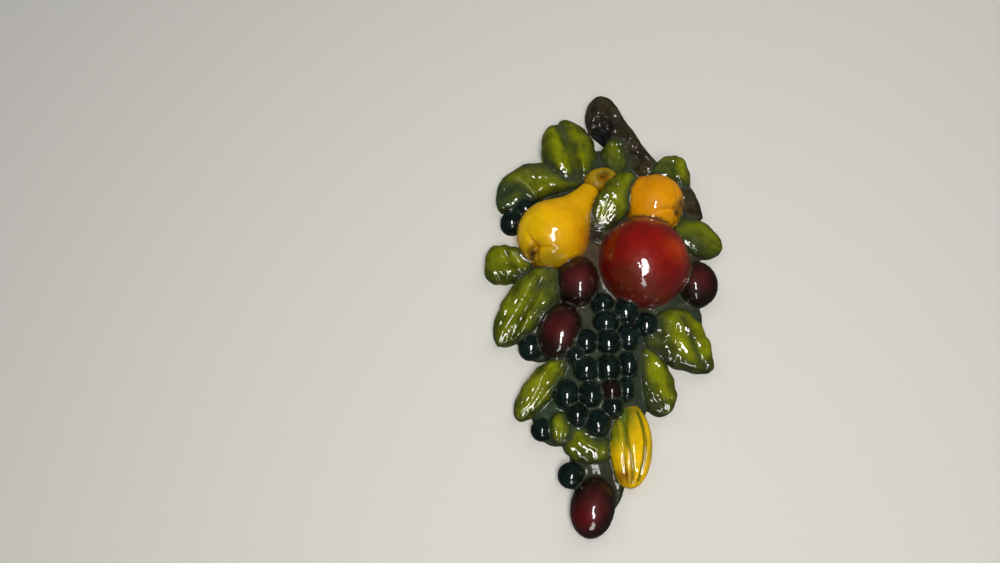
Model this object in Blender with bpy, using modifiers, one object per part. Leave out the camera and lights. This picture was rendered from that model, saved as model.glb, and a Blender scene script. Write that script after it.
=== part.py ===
"""A fruit-and-leaf wall plaque, cast in one piece, with a flat back and a pocket for a nail.

Blender 4.5. Sizes in the tables are millimetres, seen from the front: across is to the right, up is from the
plaque's foot, and rise is out of the wall, towards the viewer. The model is in metres. The wall is the plane
Y = 0, the front looks along -Y, and the origin is on the back face, just above the nail pocket.
"""

import math

import bmesh
import bpy
from mathutils import Matrix, Vector, noise

MM = 0.001

# The wall mount: where the origin sits on the back, across and up.
MOUNT_ACROSS = 0.5
MOUNT_UP = 211.0

# The nail pocket in the back, under the mount: its flat roof hangs on the nail.
POCKET_ROOF_BELOW_MOUNT = 7.0
POCKET_WIDTH = 18.0
POCKET_HEIGHT = 13.0
POCKET_DEPTH = 8.0
POCKET_CORNER = 3.0
POCKET_CORNER_STEPS = 3

# Every form runs on past the back, and is cut off flat there.
SINK = 3.0
# A fruit on the outline draws in a little between its widest line and the back.
UNDERCUT = 0.07

# How finely the domes are divided: round about, and from front to back.
MOUND_STEPS = (16, 6)
APPLE_STEPS = (24, 14)
PLUM_STEPS = (16, 10)
GRAPE_STEPS = (10, 8)
STRAY_GRAPE_STEPS = (12, 8)
STEM_END_STEPS = (14, 8)

# The low mounds that fill the gaps: across, up, half width, half height, rise.
MOUNDS = {
    "mound_bunch": (-5.0, 92.0, 29.0, 46.0, 13.0),
    "mound_pears": (-2.0, 166.0, 45.0, 44.0, 12.0),
    "mound_top": (6.0, 212.0, 34.0, 17.0, 9.0),
    "mound_left": (-38.0, 125.0, 16.0, 30.0, 7.0),
    "mound_left_foot": (-30.0, 68.0, 13.0, 19.0, 6.0),
    "mound_right": (35.0, 120.0, 20.0, 20.0, 8.0),
    "mound_right_top": (46.0, 172.0, 14.0, 27.0, 7.0),
    "mound_foot": (-8.0, 40.0, 15.0, 27.0, 7.0),
}

# The round fruits: across, up, rise of the middle, half width, half height, half depth, lean clockwise.
FRUITS = {
    "apple": (22.0, 151.0, 11.0, 25.5, 26.4, 25.0, 0.0),
    "plum_by_pear": (-16.0, 140.0, 9.5, 12.0, 14.8, 12.5, 2.0),
    "plum_left": (-26.7, 111.0, 8.5, 11.8, 16.4, 12.0, 16.0),
    "plum_right": (52.5, 139.5, 6.0, 11.6, 13.4, 11.5, 0.0),
    "plum_foot": (-12.3, 18.0, 4.5, 11.4, 15.6, 12.5, 14.0),
}

# The grapes of the bunch: across, up, half width, half height. They sit on the bunch's mound.
BUNCH = (
    (-2.8, 126.0, 6.6, 6.8),
    (9.8, 122.0, 7.1, 7.2),
    (21.4, 115.0, 6.6, 7.2),
    (-1.7, 115.0, 7.2, 6.3),
    (10.5, 107.0, 6.4, 7.7),
    (-13.1, 104.0, 6.4, 7.1),
    (-1.1, 103.5, 6.6, 7.3),
    (-19.4, 96.3, 4.8, 5.0),
    (-13.7, 88.8, 6.9, 6.9),
    (-1.9, 89.3, 6.9, 7.1),
    (9.0, 91.0, 5.8, 7.2),
    (-24.4, 75.6, 6.8, 7.8),
    (-11.8, 75.2, 6.3, 7.0),
    (-0.7, 77.0, 6.1, 6.1),
    (7.3, 77.5, 4.6, 6.7),
    (-19.0, 64.6, 6.0, 6.4),
    (-8.4, 60.0, 6.8, 7.1),
    (0.0, 68.0, 5.4, 5.4),
)
BUNCH_MIDDLE = (-4.0, 92.0)
BUNCH_REACH = (36.0, 52.0)
BUNCH_RISE = 13.0
GRAPE_DEPTH = 6.8

# The single grapes along the outline: across, up, radius, rise of the middle.
STRAY_GRAPES = (
    (-52.9, 179.2, 6.9, 4.0),
    (-45.0, 188.0, 7.2, 3.5),
    (-43.0, 103.0, 6.9, 4.0),
    (-37.6, 57.4, 6.0, 4.0),
    (-23.0, 33.8, 6.9, 4.5),
)

# The pears: bulb across, up, rise and radius, then the neck's end across, up and rise.
PEARS = {
    "pear_left": ((-29.5, 168.4, 10.5, 20.6), (-2.5, 200.0, 15.5)),
    "pear_right": ((29.8, 187.6, 11.5, 17.6), (2.0, 202.0, 13.0)),
}
# A pear's half width along its neck, as shares of the bulb's radius, at shares of the way to the neck's end.
PEAR_NECK = ((0.0, 1.0), (0.18, 0.94), (0.36, 0.74), (0.55, 0.5), (0.75, 0.36), (0.93, 0.28), (1.0, 0.0))
PEAR_STEPS_ROUND = 20
PEAR_STEPS_BULB = 6

# The stem end that shows between the pears: across, up, rise, half width, half height, half depth.
STEM_END = (0.5, 202.0, 10.5, 10.3, 8.0, 8.5)

# Hollows cut from the front: across, up, half width, half height, and the rise of the floor.
HOLLOWS = {
    "stem_hollow": (0.6, 203.0, 2.6, 2.8, 16.5),
    "calyx_left": (-36.0, 154.5, 2.4, 2.4, 22.0),
    "calyx_right": (44.0, 183.5, 2.2, 3.0, 15.0),
    "knot_hollow": (3.0, 238.5, 6.0, 6.8, 10.0),
}
# A hollow's cutter: its length, its sides, and its radii at the floor and the mouth, in table half sizes.
HOLLOW_REACH = 20.0
HOLLOW_SIDES = 10
HOLLOW_FLOOR_SHARE = 0.5
HOLLOW_MOUTH_SHARE = 3.5

# The ribbed yellow fruit: across, up, rise, half width, half length, half depth, lean clockwise.
RIBBED_FRUIT = (8.9, 48.6, 5.5, 11.5, 21.6, 11.5, 4.0)
RIB_COUNT = 8
RIB_DEPTH = 0.13
RIB_STEPS_ROUND = RIB_COUNT * 4
RIB_STEPS_LONG = 10

# The leaves: base, tip, half width on the left and right of the midrib (seen from base to tip), how far the
# midrib bows to the left, how blunt the base and the tip are (small is blunt), how much higher the left side
# stands than the right, and the rise at the base, the middle and the tip.
LEAVES = {
    "leaf_top": ((-14.5, 203.0), (-22.0, 248.0), 15.0, 17.5, 1.0, 0.5, 0.5, 1.0, (10.0, 11.5, 6.5)),
    "leaf_top_left": ((-10.0, 203.5), (-62.0, 192.0), 12.5, 12.0, -8.5, 0.6, 0.34, -2.0, (9.5, 11.0, 6.5)),
    "leaf_by_branch": ((7.5, 208.0), (8.5, 233.5), 8.8, 9.0, 0.0, 0.5, 0.42, 0.0, (10.0, 13.5, 9.5)),
    "leaf_over_pears": ((16.0, 203.0), (-2.0, 170.0), 11.0, 9.5, -1.0, 0.4, 0.45, -4.0, (20.0, 24.0, 19.0)),
    "leaf_top_right": ((30.0, 208.0), (54.0, 203.0), 9.8, 9.5, 5.3, 0.45, 0.3, 0.0, (12.0, 14.0, 7.5)),
    "leaf_right": ((44.0, 177.0), (69.5, 161.5), 9.5, 13.5, 0.5, 0.3, 0.5, 0.0, (8.5, 9.5, 6.0)),
    "leaf_left_upper": ((-42.0, 151.5), (-68.5, 153.5), 11.8, 11.5, 0.0, 0.45, 0.24, 0.0, (8.5, 9.0, 6.5)),
    "leaf_left": ((-29.0, 147.0), (-61.0, 105.0), 12.5, 13.5, 0.0, 0.35, 0.48, 2.0, (11.5, 11.0, 6.5)),
    "leaf_left_foot": ((-23.5, 96.0), (-50.5, 63.0), 6.5, 9.3, 0.0, 0.42, 0.42, 0.0, (9.5, 10.0, 6.0)),
    "leaf_right_big": ((24.0, 115.5), (56.5, 89.5), 18.5, 13.0, 0.5, 0.3, 0.7, -1.0, (9.5, 11.0, 6.0)),
    "leaf_right_foot": ((20.0, 101.0), (28.0, 65.0), 10.0, 9.2, 0.5, 0.5, 0.42, 1.0, (10.5, 10.5, 6.0)),
    "leaf_foot_curl": ((-27.5, 66.0), (-28.0, 49.5), 6.2, 6.5, 0.0, 0.4, 0.45, 0.0, (9.0, 10.0, 7.0)),
    "leaf_foot": ((-25.0, 56.0), (0.0, 46.0), 7.0, 11.5, 0.0, 0.35, 0.5, 1.0, (8.5, 10.5, 8.0)),
    "leaf_foot_web": ((-4.0, 37.0), (0.5, 19.5), 5.0, 4.0, 1.0, 0.4, 0.5, 0.0, (5.0, 5.5, 4.0)),
}
LEAF_EDGE_DROP = 3.2
LEAF_RIB_RISE = 0.8
LEAF_RIB_REACH = 0.13
LEAF_PUFF = 2.4
LEAF_STEPS_LONG = 9
LEAF_STEPS_WIDE = 6

# The branch: across, up, rise of the middle and radius, from the broken end down to the right.
BRANCH = (
    (3.6, 257.0, 3.5, 9.4),
    (5.2, 247.5, 3.5, 11.6),
    (10.0, 240.0, 4.0, 10.6),
    (17.0, 229.5, 4.5, 9.2),
    (26.0, 216.5, 4.0, 8.8),
    (38.0, 205.0, 2.0, 8.0),
    (50.0, 195.5, 3.0, 7.4),
    (54.0, 180.0, 3.0, 6.4),
)
BRANCH_STEPS = 16
BRANCH_ROUNDNESS = 2
BARK_RIDGE = 0.9
BARK_SCALE = 0.16
# How the broken end is rounded: how far past the end, and how wide there, as shares of the radius.
BRANCH_END = ((0.75, 0.45), (0.5, 0.82))

# Edges sharper than this, in degrees, are shaded as edges.
SHARP_ANGLE = 38.0

# What cuts the back flat: a slab this wide, high and thick, its face in this many squares each way.
WALL_SIZE = 320.0
WALL_THICKNESS = 30.0
WALL_SQUARES = 10
WALL_MIDDLE_UP = 140.0


def place(across, up, rise):
    """A point of the tables, in metres, in the plaque's own frame."""
    return Vector((across - MOUNT_ACROSS, -rise, up - MOUNT_UP)) * MM


def add_object(name, bm, collection):
    """Turns a bmesh in metres into a named object. Flat triangles keep the joining and cutting exact."""
    bmesh.ops.triangulate(bm, faces=bm.faces[:])
    bmesh.ops.recalc_face_normals(bm, faces=bm.faces[:])
    mesh = bpy.data.meshes.new(name)
    bm.to_mesh(mesh)
    bm.free()
    obj = bpy.data.objects.new(name, mesh)
    collection.objects.link(obj)
    return obj


def add_dome(name, middle, halves, lean, steps, collection):
    """An ellipsoid whose back half is a skirt that runs into the wall. halves: width, height, depth."""
    rise = middle[2]
    half_width, half_height, half_depth = halves
    bm = bmesh.new()
    bmesh.ops.create_uvsphere(bm, u_segments=steps[0], v_segments=steps[1], radius=1.0)
    to_wall = (rise + SINK) / half_depth
    for vert in bm.verts:
        outward = vert.co.z
        side = Vector((vert.co.x, vert.co.y))
        if outward < -1e-4:
            share = math.asin(min(1.0, -outward)) / (math.pi / 2)
            if share < 0.999:
                side = side.normalized() * (1.0 - UNDERCUT * share)
            outward = -share * to_wall
        vert.co = (side.x * half_width, -outward * half_depth, side.y * half_height)
    spin = Matrix.Rotation(math.radians(lean), 4, "Y")
    bm.transform(Matrix.Translation(place(*middle)) @ Matrix.Scale(MM, 4) @ spin)
    return add_object(name, bm, collection)


def pear_profile(bulb_radius, length):
    """The pear's outline, from the neck's end down the bulb, as (radius, height over the bulb's middle)."""
    neck = [(share * bulb_radius, way * length) for way, share in reversed(PEAR_NECK)]
    angles = [step / PEAR_STEPS_BULB * math.pi / 2 for step in range(1, PEAR_STEPS_BULB + 1)]
    return neck + [(bulb_radius * math.cos(a), -bulb_radius * math.sin(a)) for a in angles]


def add_pear(name, bulb, neck_end, collection):
    """A pear turned with a Screw modifier about the line from its bulb to the end of its neck."""
    across, up, rise, radius = bulb
    start, end = place(across, up, rise), place(*neck_end)
    axis = end - start
    points = pear_profile(radius, axis.length / MM)
    mesh = bpy.data.meshes.new(name)
    edges = [(i, i + 1) for i in range(len(points) - 1)]
    mesh.from_pydata([(r * MM, 0.0, h * MM) for r, h in points], edges, [])
    obj = bpy.data.objects.new(name, mesh)
    obj.matrix_world = Matrix.Translation(start) @ axis.to_track_quat("Z", "Y").to_matrix().to_4x4()
    collection.objects.link(obj)
    screw = obj.modifiers.new("turning", "SCREW")
    screw.steps = screw.render_steps = PEAR_STEPS_ROUND
    screw.use_merge_vertices = True
    screw.merge_threshold = 0.00002
    obj.modifiers.new("flat_faces", "TRIANGULATE")
    return obj


def add_ribbed_fruit(name, collection):
    """An ellipsoid with deep lengthwise ribs."""
    across, up, rise, half_width, half_length, half_depth, lean = RIBBED_FRUIT
    bm = bmesh.new()
    bmesh.ops.create_uvsphere(bm, u_segments=RIB_STEPS_ROUND, v_segments=RIB_STEPS_LONG, radius=1.0)
    for vert in bm.verts:
        around = math.atan2(vert.co.y, vert.co.x)
        girth = math.hypot(vert.co.x, vert.co.y)
        valley = (1.0 - abs(math.sin(around * RIB_COUNT / 2))) ** 2
        swell = 1.0 - RIB_DEPTH * valley * min(1.0, girth * 2)
        vert.co = (vert.co.x * half_width * swell, vert.co.y * half_depth * swell, vert.co.z * half_length)
    spin = Matrix.Rotation(math.radians(lean), 4, "Y")
    bm.transform(Matrix.Translation(place(across, up, rise)) @ Matrix.Scale(MM, 4) @ spin)
    return add_object(name, bm, collection)


def leaf_half_width(along, base_power, tip_power):
    """A leaf's half width as a share of its widest: 0 at both ends, blunter with a smaller power."""
    widest = base_power / (base_power + tip_power)
    most = widest**base_power * (1.0 - widest) ** tip_power
    return max(along**base_power * (1.0 - along) ** tip_power / most, 0.02)


def leaf_point(along, side, base, tip, left, right, bow, base_power, tip_power, tilt, rises):
    """A point on a leaf's top. along runs from base to tip, side from -1 on the right to 1 on the left."""
    base, tip = Vector(base), Vector(tip)
    run = tip - base
    leftward = Vector((-run.y, run.x)).normalized()
    hump = 4.0 * along * (1.0 - along)
    spine = base + run * along + leftward * bow * hump
    share = leaf_half_width(along, base_power, tip_power)
    spot = spine + leftward * side * share * (left if side > 0 else right)
    low, middle, high = rises
    spine_rise = low + (high - low) * along + (middle - (low + high) / 2) * hump
    out = abs(side)
    body = math.sin(math.pi * out**1.2) * share
    rib = LEAF_RIB_RISE * math.exp(-((side / LEAF_RIB_REACH) ** 2)) * share
    edge = LEAF_EDGE_DROP * out**5
    return spot.x, spot.y, spine_rise + rib + LEAF_PUFF * body - edge + tilt * side * share / 2


def add_leaf(name, shape, collection):
    """A leaf as a grid bent to its outline and carved with a midrib, with walls down past the back."""
    bm = bmesh.new()
    bmesh.ops.create_grid(bm, x_segments=LEAF_STEPS_LONG, y_segments=LEAF_STEPS_WIDE, size=1.0)
    for vert in bm.verts:
        along, side = (1.0 + math.sin(vert.co.x * math.pi / 2)) / 2.0, vert.co.y
        vert.co = place(*leaf_point(along, side, *shape))
    rim = [edge for edge in bm.edges if edge.is_boundary]
    walls = bmesh.ops.extrude_edge_only(bm, edges=rim)["geom"]
    feet = [item for item in walls if isinstance(item, bmesh.types.BMVert)]
    for vert in feet:
        vert.co.y = SINK * MM
    bmesh.ops.contextual_create(bm, geom=[edge for edge in bm.edges if edge.is_boundary])
    return add_object(name, bm, collection)


def branch_line():
    """The branch's middle line and radius as smooth points, read from a curve through its table."""
    points = []
    last = len(BRANCH) - 1
    for step in range(BRANCH_STEPS + 1):
        way = step / BRANCH_STEPS * last
        i = min(int(way), last - 1)
        t = way - i
        p0, p1, p2, p3 = (Vector(BRANCH[max(0, min(last, i + k))]) for k in (-1, 0, 1, 2))
        points.append(
            0.5
            * (
                2 * p1
                + (p2 - p0) * t
                + (2 * p0 - 5 * p1 + 4 * p2 - p3) * t**2
                + (3 * p1 - p0 - 3 * p2 + p3) * t**3
            )
        )
    return points


def add_branch(name, collection):
    """The branch, a bevelled curve made a mesh, with its end rounded and its bark ridged lengthwise."""
    line = branch_line()
    curve = bpy.data.curves.new(name, "CURVE")
    curve.dimensions = "3D"
    curve.bevel_depth = MM
    curve.bevel_resolution = BRANCH_ROUNDNESS
    curve.use_fill_caps = True
    spline = curve.splines.new("POLY")
    start = line[0]
    lead_in = (line[0] - line[1]).normalized()
    rounded = [start + lead_in * start.w * past for past, share in BRANCH_END] + line
    shares = [share for past, share in BRANCH_END] + [1.0] * len(line)
    spline.points.add(len(rounded) - 1)
    for spline_point, spot, share in zip(spline.points, rounded, shares):
        spline_point.co = (*place(spot.x, spot.y, spot.z), 1.0)
        spline_point.radius = spot.w * share
    guide = bpy.data.objects.new(name + "_guide", curve)
    bpy.context.scene.collection.objects.link(guide)
    bpy.context.view_layer.update()
    evaluated = guide.evaluated_get(bpy.context.evaluated_depsgraph_get())
    bm = bmesh.new()
    bm.from_mesh(bpy.data.meshes.new_from_object(evaluated))
    bpy.data.objects.remove(guide)
    bmesh.ops.remove_doubles(bm, verts=bm.verts[:], dist=0.00002)
    bm.normal_update()
    for vert in bm.verts:
        spot = Vector((vert.co.x + vert.co.z, (vert.co.x - vert.co.z) * 0.25, vert.co.y)) / MM
        vert.co += vert.normal * noise.noise(spot * BARK_SCALE) * BARK_RIDGE * MM
    return add_object(name, bm, collection)


def add_cutter(name, low, high, corner, collection):
    """A box between two points, in metres, with its edges along Y rounded."""
    bm = bmesh.new()
    bmesh.ops.create_cube(bm, size=1.0)
    size = high - low
    bm.transform(Matrix.Translation((low + high) / 2) @ Matrix.Diagonal((*size, 1.0)))
    if corner:
        upright = [e for e in bm.edges if abs(e.verts[0].co.y - e.verts[1].co.y) > size.y / 2]
        steps = POCKET_CORNER_STEPS
        bmesh.ops.bevel(bm, geom=upright, offset=corner, segments=steps, affect="EDGES", profile=0.5)
    obj = add_object(name, bm, collection)
    obj.display_type = "WIRE"
    return obj


def add_wall_cutter(name, collection):
    """A slab behind the wall plane. Its face is in squares, so the back is cut as squares too."""
    bm = bmesh.new()
    turn = Matrix.Rotation(math.radians(90), 4, "X")
    middle = Matrix.Translation(place(0.0, WALL_MIDDLE_UP, 0.0))
    bmesh.ops.create_grid(
        bm,
        x_segments=WALL_SQUARES,
        y_segments=WALL_SQUARES,
        size=WALL_SIZE / 2 * MM,
        matrix=middle @ turn,
    )
    slab = bmesh.ops.extrude_face_region(bm, geom=bm.faces[:])["geom"]
    for item in slab:
        if isinstance(item, bmesh.types.BMVert):
            item.co.y += WALL_THICKNESS * MM
    obj = add_object(name, bm, collection)
    obj.display_type = "WIRE"
    return obj


def add_hollow(name, hollow, collection):
    """A short plug, wider to the front, that cuts a dimple. hollow is a row of the table."""
    across, up, half_width, half_height, floor = hollow
    bm = bmesh.new()
    bmesh.ops.create_cone(
        bm,
        cap_ends=True,
        segments=HOLLOW_SIDES,
        radius1=HOLLOW_FLOOR_SHARE,
        radius2=HOLLOW_MOUTH_SHARE,
        depth=1.0,
    )
    stand = Matrix.Rotation(math.radians(90), 4, "X")
    size = Matrix.Diagonal((half_width * MM, HOLLOW_REACH * MM, half_height * MM, 1.0))
    middle = place(across, up, floor + HOLLOW_REACH / 2)
    bm.transform(Matrix.Translation(middle) @ size @ stand)
    obj = add_object(name, bm, collection)
    obj.display_type = "WIRE"
    return obj


def bunch_rise(across, up):
    """How far out a grape's middle sits: high in the middle of the bunch, low at its rim."""
    away = math.hypot((across - BUNCH_MIDDLE[0]) / BUNCH_REACH[0], (up - BUNCH_MIDDLE[1]) / BUNCH_REACH[1])
    return BUNCH_RISE * math.sqrt(max(0.1, 1.0 - away**2))


def build_relief(collection):
    """Everything that stands on the first mound: mounds, leaves, branch and fruit."""
    for name, (across, up, *halves) in MOUNDS.items():
        add_dome(name, (across, up, 0.0), halves, 0.0, MOUND_STEPS, collection)
    for name, shape in LEAVES.items():
        add_leaf(name, shape, collection)
    add_branch("branch", collection)
    for name, (across, up, rise, *halves, lean) in FRUITS.items():
        steps = APPLE_STEPS if name == "apple" else PLUM_STEPS
        add_dome(name, (across, up, rise), halves, lean, steps, collection)
    for number, (across, up, half_width, half_height) in enumerate(BUNCH):
        middle = (across, up, bunch_rise(across, up))
        halves = (half_width, half_height, GRAPE_DEPTH)
        add_dome(f"grape_{number}", middle, halves, 0.0, GRAPE_STEPS, collection)
    for number, (across, up, radius, rise) in enumerate(STRAY_GRAPES):
        middle, halves = (across, up, rise), (radius, radius, radius)
        add_dome(f"stray_grape_{number}", middle, halves, 0.0, STRAY_GRAPE_STEPS, collection)
    for name, (bulb, neck_end) in PEARS.items():
        add_pear(name, bulb, neck_end, collection)
    add_dome("stem_end", STEM_END[:3], STEM_END[3:], 0.0, STEM_END_STEPS, collection)
    add_ribbed_fruit("ribbed_fruit", collection)


def build_cutters(collection):
    """The wall side, the nail pocket in the back and the hollows in front."""
    add_wall_cutter("wall_side", collection)
    roof = -POCKET_ROOF_BELOW_MOUNT
    low = Vector((-POCKET_WIDTH / 2, -POCKET_DEPTH, roof - POCKET_HEIGHT)) * MM
    high = Vector((POCKET_WIDTH / 2, SINK, roof)) * MM
    add_cutter("nail_pocket", low, high, POCKET_CORNER * MM, collection)
    for name, hollow in HOLLOWS.items():
        add_hollow(name, hollow, collection)


def islands(bm):
    """The separate bodies of a bmesh, as lists of vertices, the largest first."""
    left = set(bm.verts)
    found = []
    while left:
        todo = [left.pop()]
        body = []
        while todo:
            vert = todo.pop()
            body.append(vert)
            near = {edge.other_vert(vert) for edge in vert.link_edges} & left
            left -= near
            todo.extend(near)
        found.append(body)
    return sorted(found, key=len, reverse=True)


def settle_casting(obj):
    """Applies the joining and cutting, and fills the gaps closed in between forms, as a casting does."""
    bpy.context.view_layer.update()
    evaluated = obj.evaluated_get(bpy.context.evaluated_depsgraph_get())
    bm = bmesh.new()
    bm.from_mesh(bpy.data.meshes.new_from_object(evaluated))
    for bubble in islands(bm)[1:]:
        bmesh.ops.delete(bm, geom=bubble, context="VERTS")
    obj.modifiers.clear()
    bm.to_mesh(obj.data)
    bm.free()
    obj.data.shade_smooth()
    obj.data.set_sharp_from_angle(angle=math.radians(SHARP_ANGLE))


def make_material():
    """Glossy paint over plaster: the leaves' green, which covers the most of it."""
    material = bpy.data.materials.new("painted_plaster")
    material.use_nodes = True
    shader = material.node_tree.nodes["Principled BSDF"]
    shader.inputs["Base Color"].default_value = (0.16, 0.2, 0.03, 1.0)
    shader.inputs["Roughness"].default_value = 0.22
    shader.inputs["Metallic"].default_value = 0.0
    return material


def new_collection(name, helper):
    collection = bpy.data.collections.new(name)
    bpy.context.scene.collection.children.link(collection)
    collection.hide_render = helper
    return collection


def main():
    for obj in list(bpy.data.objects):
        bpy.data.objects.remove(obj)
    plaque = new_collection("fruit_wall_plaque", helper=False)
    relief = new_collection("relief_forms", helper=True)
    cutters = new_collection("cutters", helper=True)
    build_relief(relief)
    build_cutters(cutters)

    casting = bpy.data.objects["mound_pears"]
    relief.objects.unlink(casting)
    plaque.objects.link(casting)
    casting.name = "fruit_plaque"
    join = casting.modifiers.new("join_relief", "BOOLEAN")
    join.operation = "UNION"
    join.solver = "MANIFOLD"
    join.operand_type = "COLLECTION"
    join.collection = relief
    for cutter in cutters.objects:
        cut = casting.modifiers.new(cutter.name, "BOOLEAN")
        cut.operation = "DIFFERENCE"
        cut.solver = "MANIFOLD"
        cut.object = cutter
        cutter.hide_render = True
    settle_casting(casting)
    casting.data.materials.append(make_material())
    for obj in relief.objects:
        obj.hide_render = True


main()
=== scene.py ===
import math

import bmesh
import bpy
import numpy as np
from mathutils import Matrix, Vector, noise
from mathutils.bvhtree import BVHTree
from mathutils.kdtree import KDTree


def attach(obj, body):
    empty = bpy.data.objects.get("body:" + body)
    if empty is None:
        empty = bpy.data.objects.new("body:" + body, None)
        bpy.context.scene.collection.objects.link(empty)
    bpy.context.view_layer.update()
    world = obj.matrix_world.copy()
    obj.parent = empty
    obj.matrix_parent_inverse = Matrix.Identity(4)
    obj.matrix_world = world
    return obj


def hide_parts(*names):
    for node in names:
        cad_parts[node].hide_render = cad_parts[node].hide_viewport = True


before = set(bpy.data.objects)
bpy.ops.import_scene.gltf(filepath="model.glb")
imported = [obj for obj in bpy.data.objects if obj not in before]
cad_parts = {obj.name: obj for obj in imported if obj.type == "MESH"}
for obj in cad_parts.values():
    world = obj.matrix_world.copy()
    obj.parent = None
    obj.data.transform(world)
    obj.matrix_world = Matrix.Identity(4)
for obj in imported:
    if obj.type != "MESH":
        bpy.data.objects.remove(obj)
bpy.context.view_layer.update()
print("frame loaded")

mm = 0.001
weldWithin = 0.02 * mm

# Sizes are millimetres seen from the front: across to the right, up from the plaque's foot, rise out of the wall.
casting = {
    "mountAcross": 0.5,  # where the origin sits on the back
    "mountUp": 211.0,
    "sink": 3.0,  # how far the forms run on behind the back before it is cut flat
    "undercut": 0.07,
    "voxel": 0.62,
    "softenRounds": 5,
    "soften": 0.5,
    "triangles": 188000,
    "backSlab": (320.0, 140.0, 30.0, 10),  # width and height, middle, thickness, squares
    "sharpAngle": 42.0,
}
pocket = {"below": 7.0, "width": 18.0, "height": 13.0, "depth": 8.0, "corner": 3.0, "cornerSteps": 6}

paints = ("web", "leaf", "pear", "apple", "plum", "grape", "bark", "pod")
formBook = []  # one entry for each form: its name, paint and tone
bank = {"points": [], "faces": [], "spots": [], "forms": [], "count": 0}


def place(across, up, rise):
    return Vector((across - casting["mountAcross"], -rise, up - casting["mountUp"])) * mm


def newObject(name, data):
    obj = bpy.data.objects.new(name, data)
    bpy.context.scene.collection.objects.link(obj)
    return obj


# The mesh that an object comes out as, with its modifiers or its curve's thickness.
def finishedMesh(obj):
    bpy.context.view_layer.update()
    return bpy.data.meshes.new_from_object(obj.evaluated_get(bpy.context.evaluated_depsgraph_get()))


def applyModifiers(obj):
    before, baked = obj.data, finishedMesh(obj)
    obj.modifiers.clear()
    obj.data = baked
    bpy.data.meshes.remove(before)


# A mesh of triangles that face outwards.
def closedMesh(name, bm):
    bmesh.ops.triangulate(bm, faces=bm.faces[:])
    bmesh.ops.recalc_face_normals(bm, faces=bm.faces[:])
    mesh = bpy.data.meshes.new(name)
    bm.to_mesh(mesh)
    bm.free()
    return mesh


def readArray(items, name, kind=np.float32, width=3):
    values = np.empty(len(items) * width, kind)
    items.foreach_get(name, values)
    return values.reshape(-1, width)


# Puts a form's triangles into the bank, with where each point is on its form (its spot).
def bankMesh(mesh, forms, spots=None):
    mesh.calc_loop_triangles()
    count = len(mesh.vertices)
    bank["points"].append(readArray(mesh.vertices, "co"))
    bank["faces"].append(readArray(mesh.loop_triangles, "vertices", np.int32) + bank["count"])
    bank["spots"].append(np.zeros((count, 3), np.float32) if spots is None else np.array(spots, np.float32))
    bank["forms"].append(np.array(forms, np.int32))
    bank["count"] += count


def addForm(name, paint, bm, spots=None, tone=0.5):
    mesh = closedMesh(name, bm)
    formBook.append({"name": name, "paint": paints.index(paint), "tone": tone})
    bankMesh(mesh, [len(formBook) - 1] * len(mesh.vertices), spots)
    bpy.data.meshes.remove(mesh)


# Puts what is modelled in mm round its own middle in its place, leaning by some degrees.
def standAt(bm, middle, lean):
    spin = Matrix.Rotation(math.radians(lean), 4, "Y")
    bm.transform(Matrix.Translation(place(*middle)) @ Matrix.Scale(mm, 4) @ spin)


# An ellipsoid whose back half is a skirt into the wall. apex shifts its top sideways and up, in half sizes.
def addDome(name, paint, middle, halves, lean=0.0, segments=64, tone=0.5, apex=(0.0, 0.0)):
    bm = bmesh.new()
    bmesh.ops.create_uvsphere(bm, u_segments=segments, v_segments=segments // 2, radius=1.0)
    toWall = (middle[2] + casting["sink"]) / halves[2]
    spots = []
    for vert in bm.verts:
        outward = vert.co.z
        side = Vector((vert.co.x, vert.co.y))
        spots.append((side.x, side.y, outward))
        if outward < -1e-4:
            share = math.asin(min(1.0, -outward)) / (math.pi / 2)
            if share < 0.999:  # the pole itself has no side
                side = side.normalized() * (1.0 - casting["undercut"] * share)
            outward = -share * toWall
        else:
            side += Vector(apex) * outward**2
        vert.co = (side.x * halves[0], -outward * halves[2], side.y * halves[1])
    standAt(bm, middle, lean)
    addForm(name, paint, bm, spots, tone)


# The low mounds that fill the gaps: across, up, half width, half height, rise.
mounds = {
    "moundBunch": (-5, 92, 29, 46, 13),
    "moundPears": (-2, 166, 45, 44, 12),
    "moundTop": (6, 212, 34, 17, 9),
    "moundLeft": (-38, 125, 16, 30, 7),
    "moundLeftFoot": (-30, 68, 13, 19, 6),
    "moundRight": (35, 120, 20, 20, 8),
    "moundRightTop": (46, 172, 14, 27, 7),
    "moundFoot": (-8, 40, 15, 27, 7),
}


def addMounds():
    for name, (across, up, *halves) in mounds.items():
        addDome(name, "web", (across, up, 0.0), halves)


# The round fruits. middle is across, up and rise; halves are half width, height and depth.
fruits = {
    "apple": {
        "paint": "apple", "middle": (22, 151, 11), "halves": (25.5, 26.4, 25), "apex": (-0.1, -0.06),
        "segments": 144,
    },
    "plumByPear": {
        "paint": "plum", "middle": (-16, 140, 9.5), "halves": (12, 14.8, 12.5), "lean": 2, "apex": (0.08, -0.1),
    },
    "plumLeft": {
        "paint": "plum", "middle": (-26.7, 111, 8.5), "halves": (11.8, 16.4, 12), "lean": 16, "apex": (0.1, -0.06),
    },
    "plumRight": {"paint": "plum", "middle": (52.5, 139.5, 6), "halves": (11.6, 13.4, 11.5), "apex": (-0.2, 0)},
    "plumFoot": {
        "paint": "plum", "middle": (-12.3, 18, 4.5), "halves": (11.4, 15.6, 12.5), "lean": 14, "apex": (0.02, -0.06),
    },
    "stemEnd": {"paint": "pear", "middle": (0.5, 202.5, 10.5), "halves": (10.3, 7.6, 11), "tone": 0},
}


def addFruits():
    for name, fruit in fruits.items():
        addDome(name, **{"segments": 80, **fruit})


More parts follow.
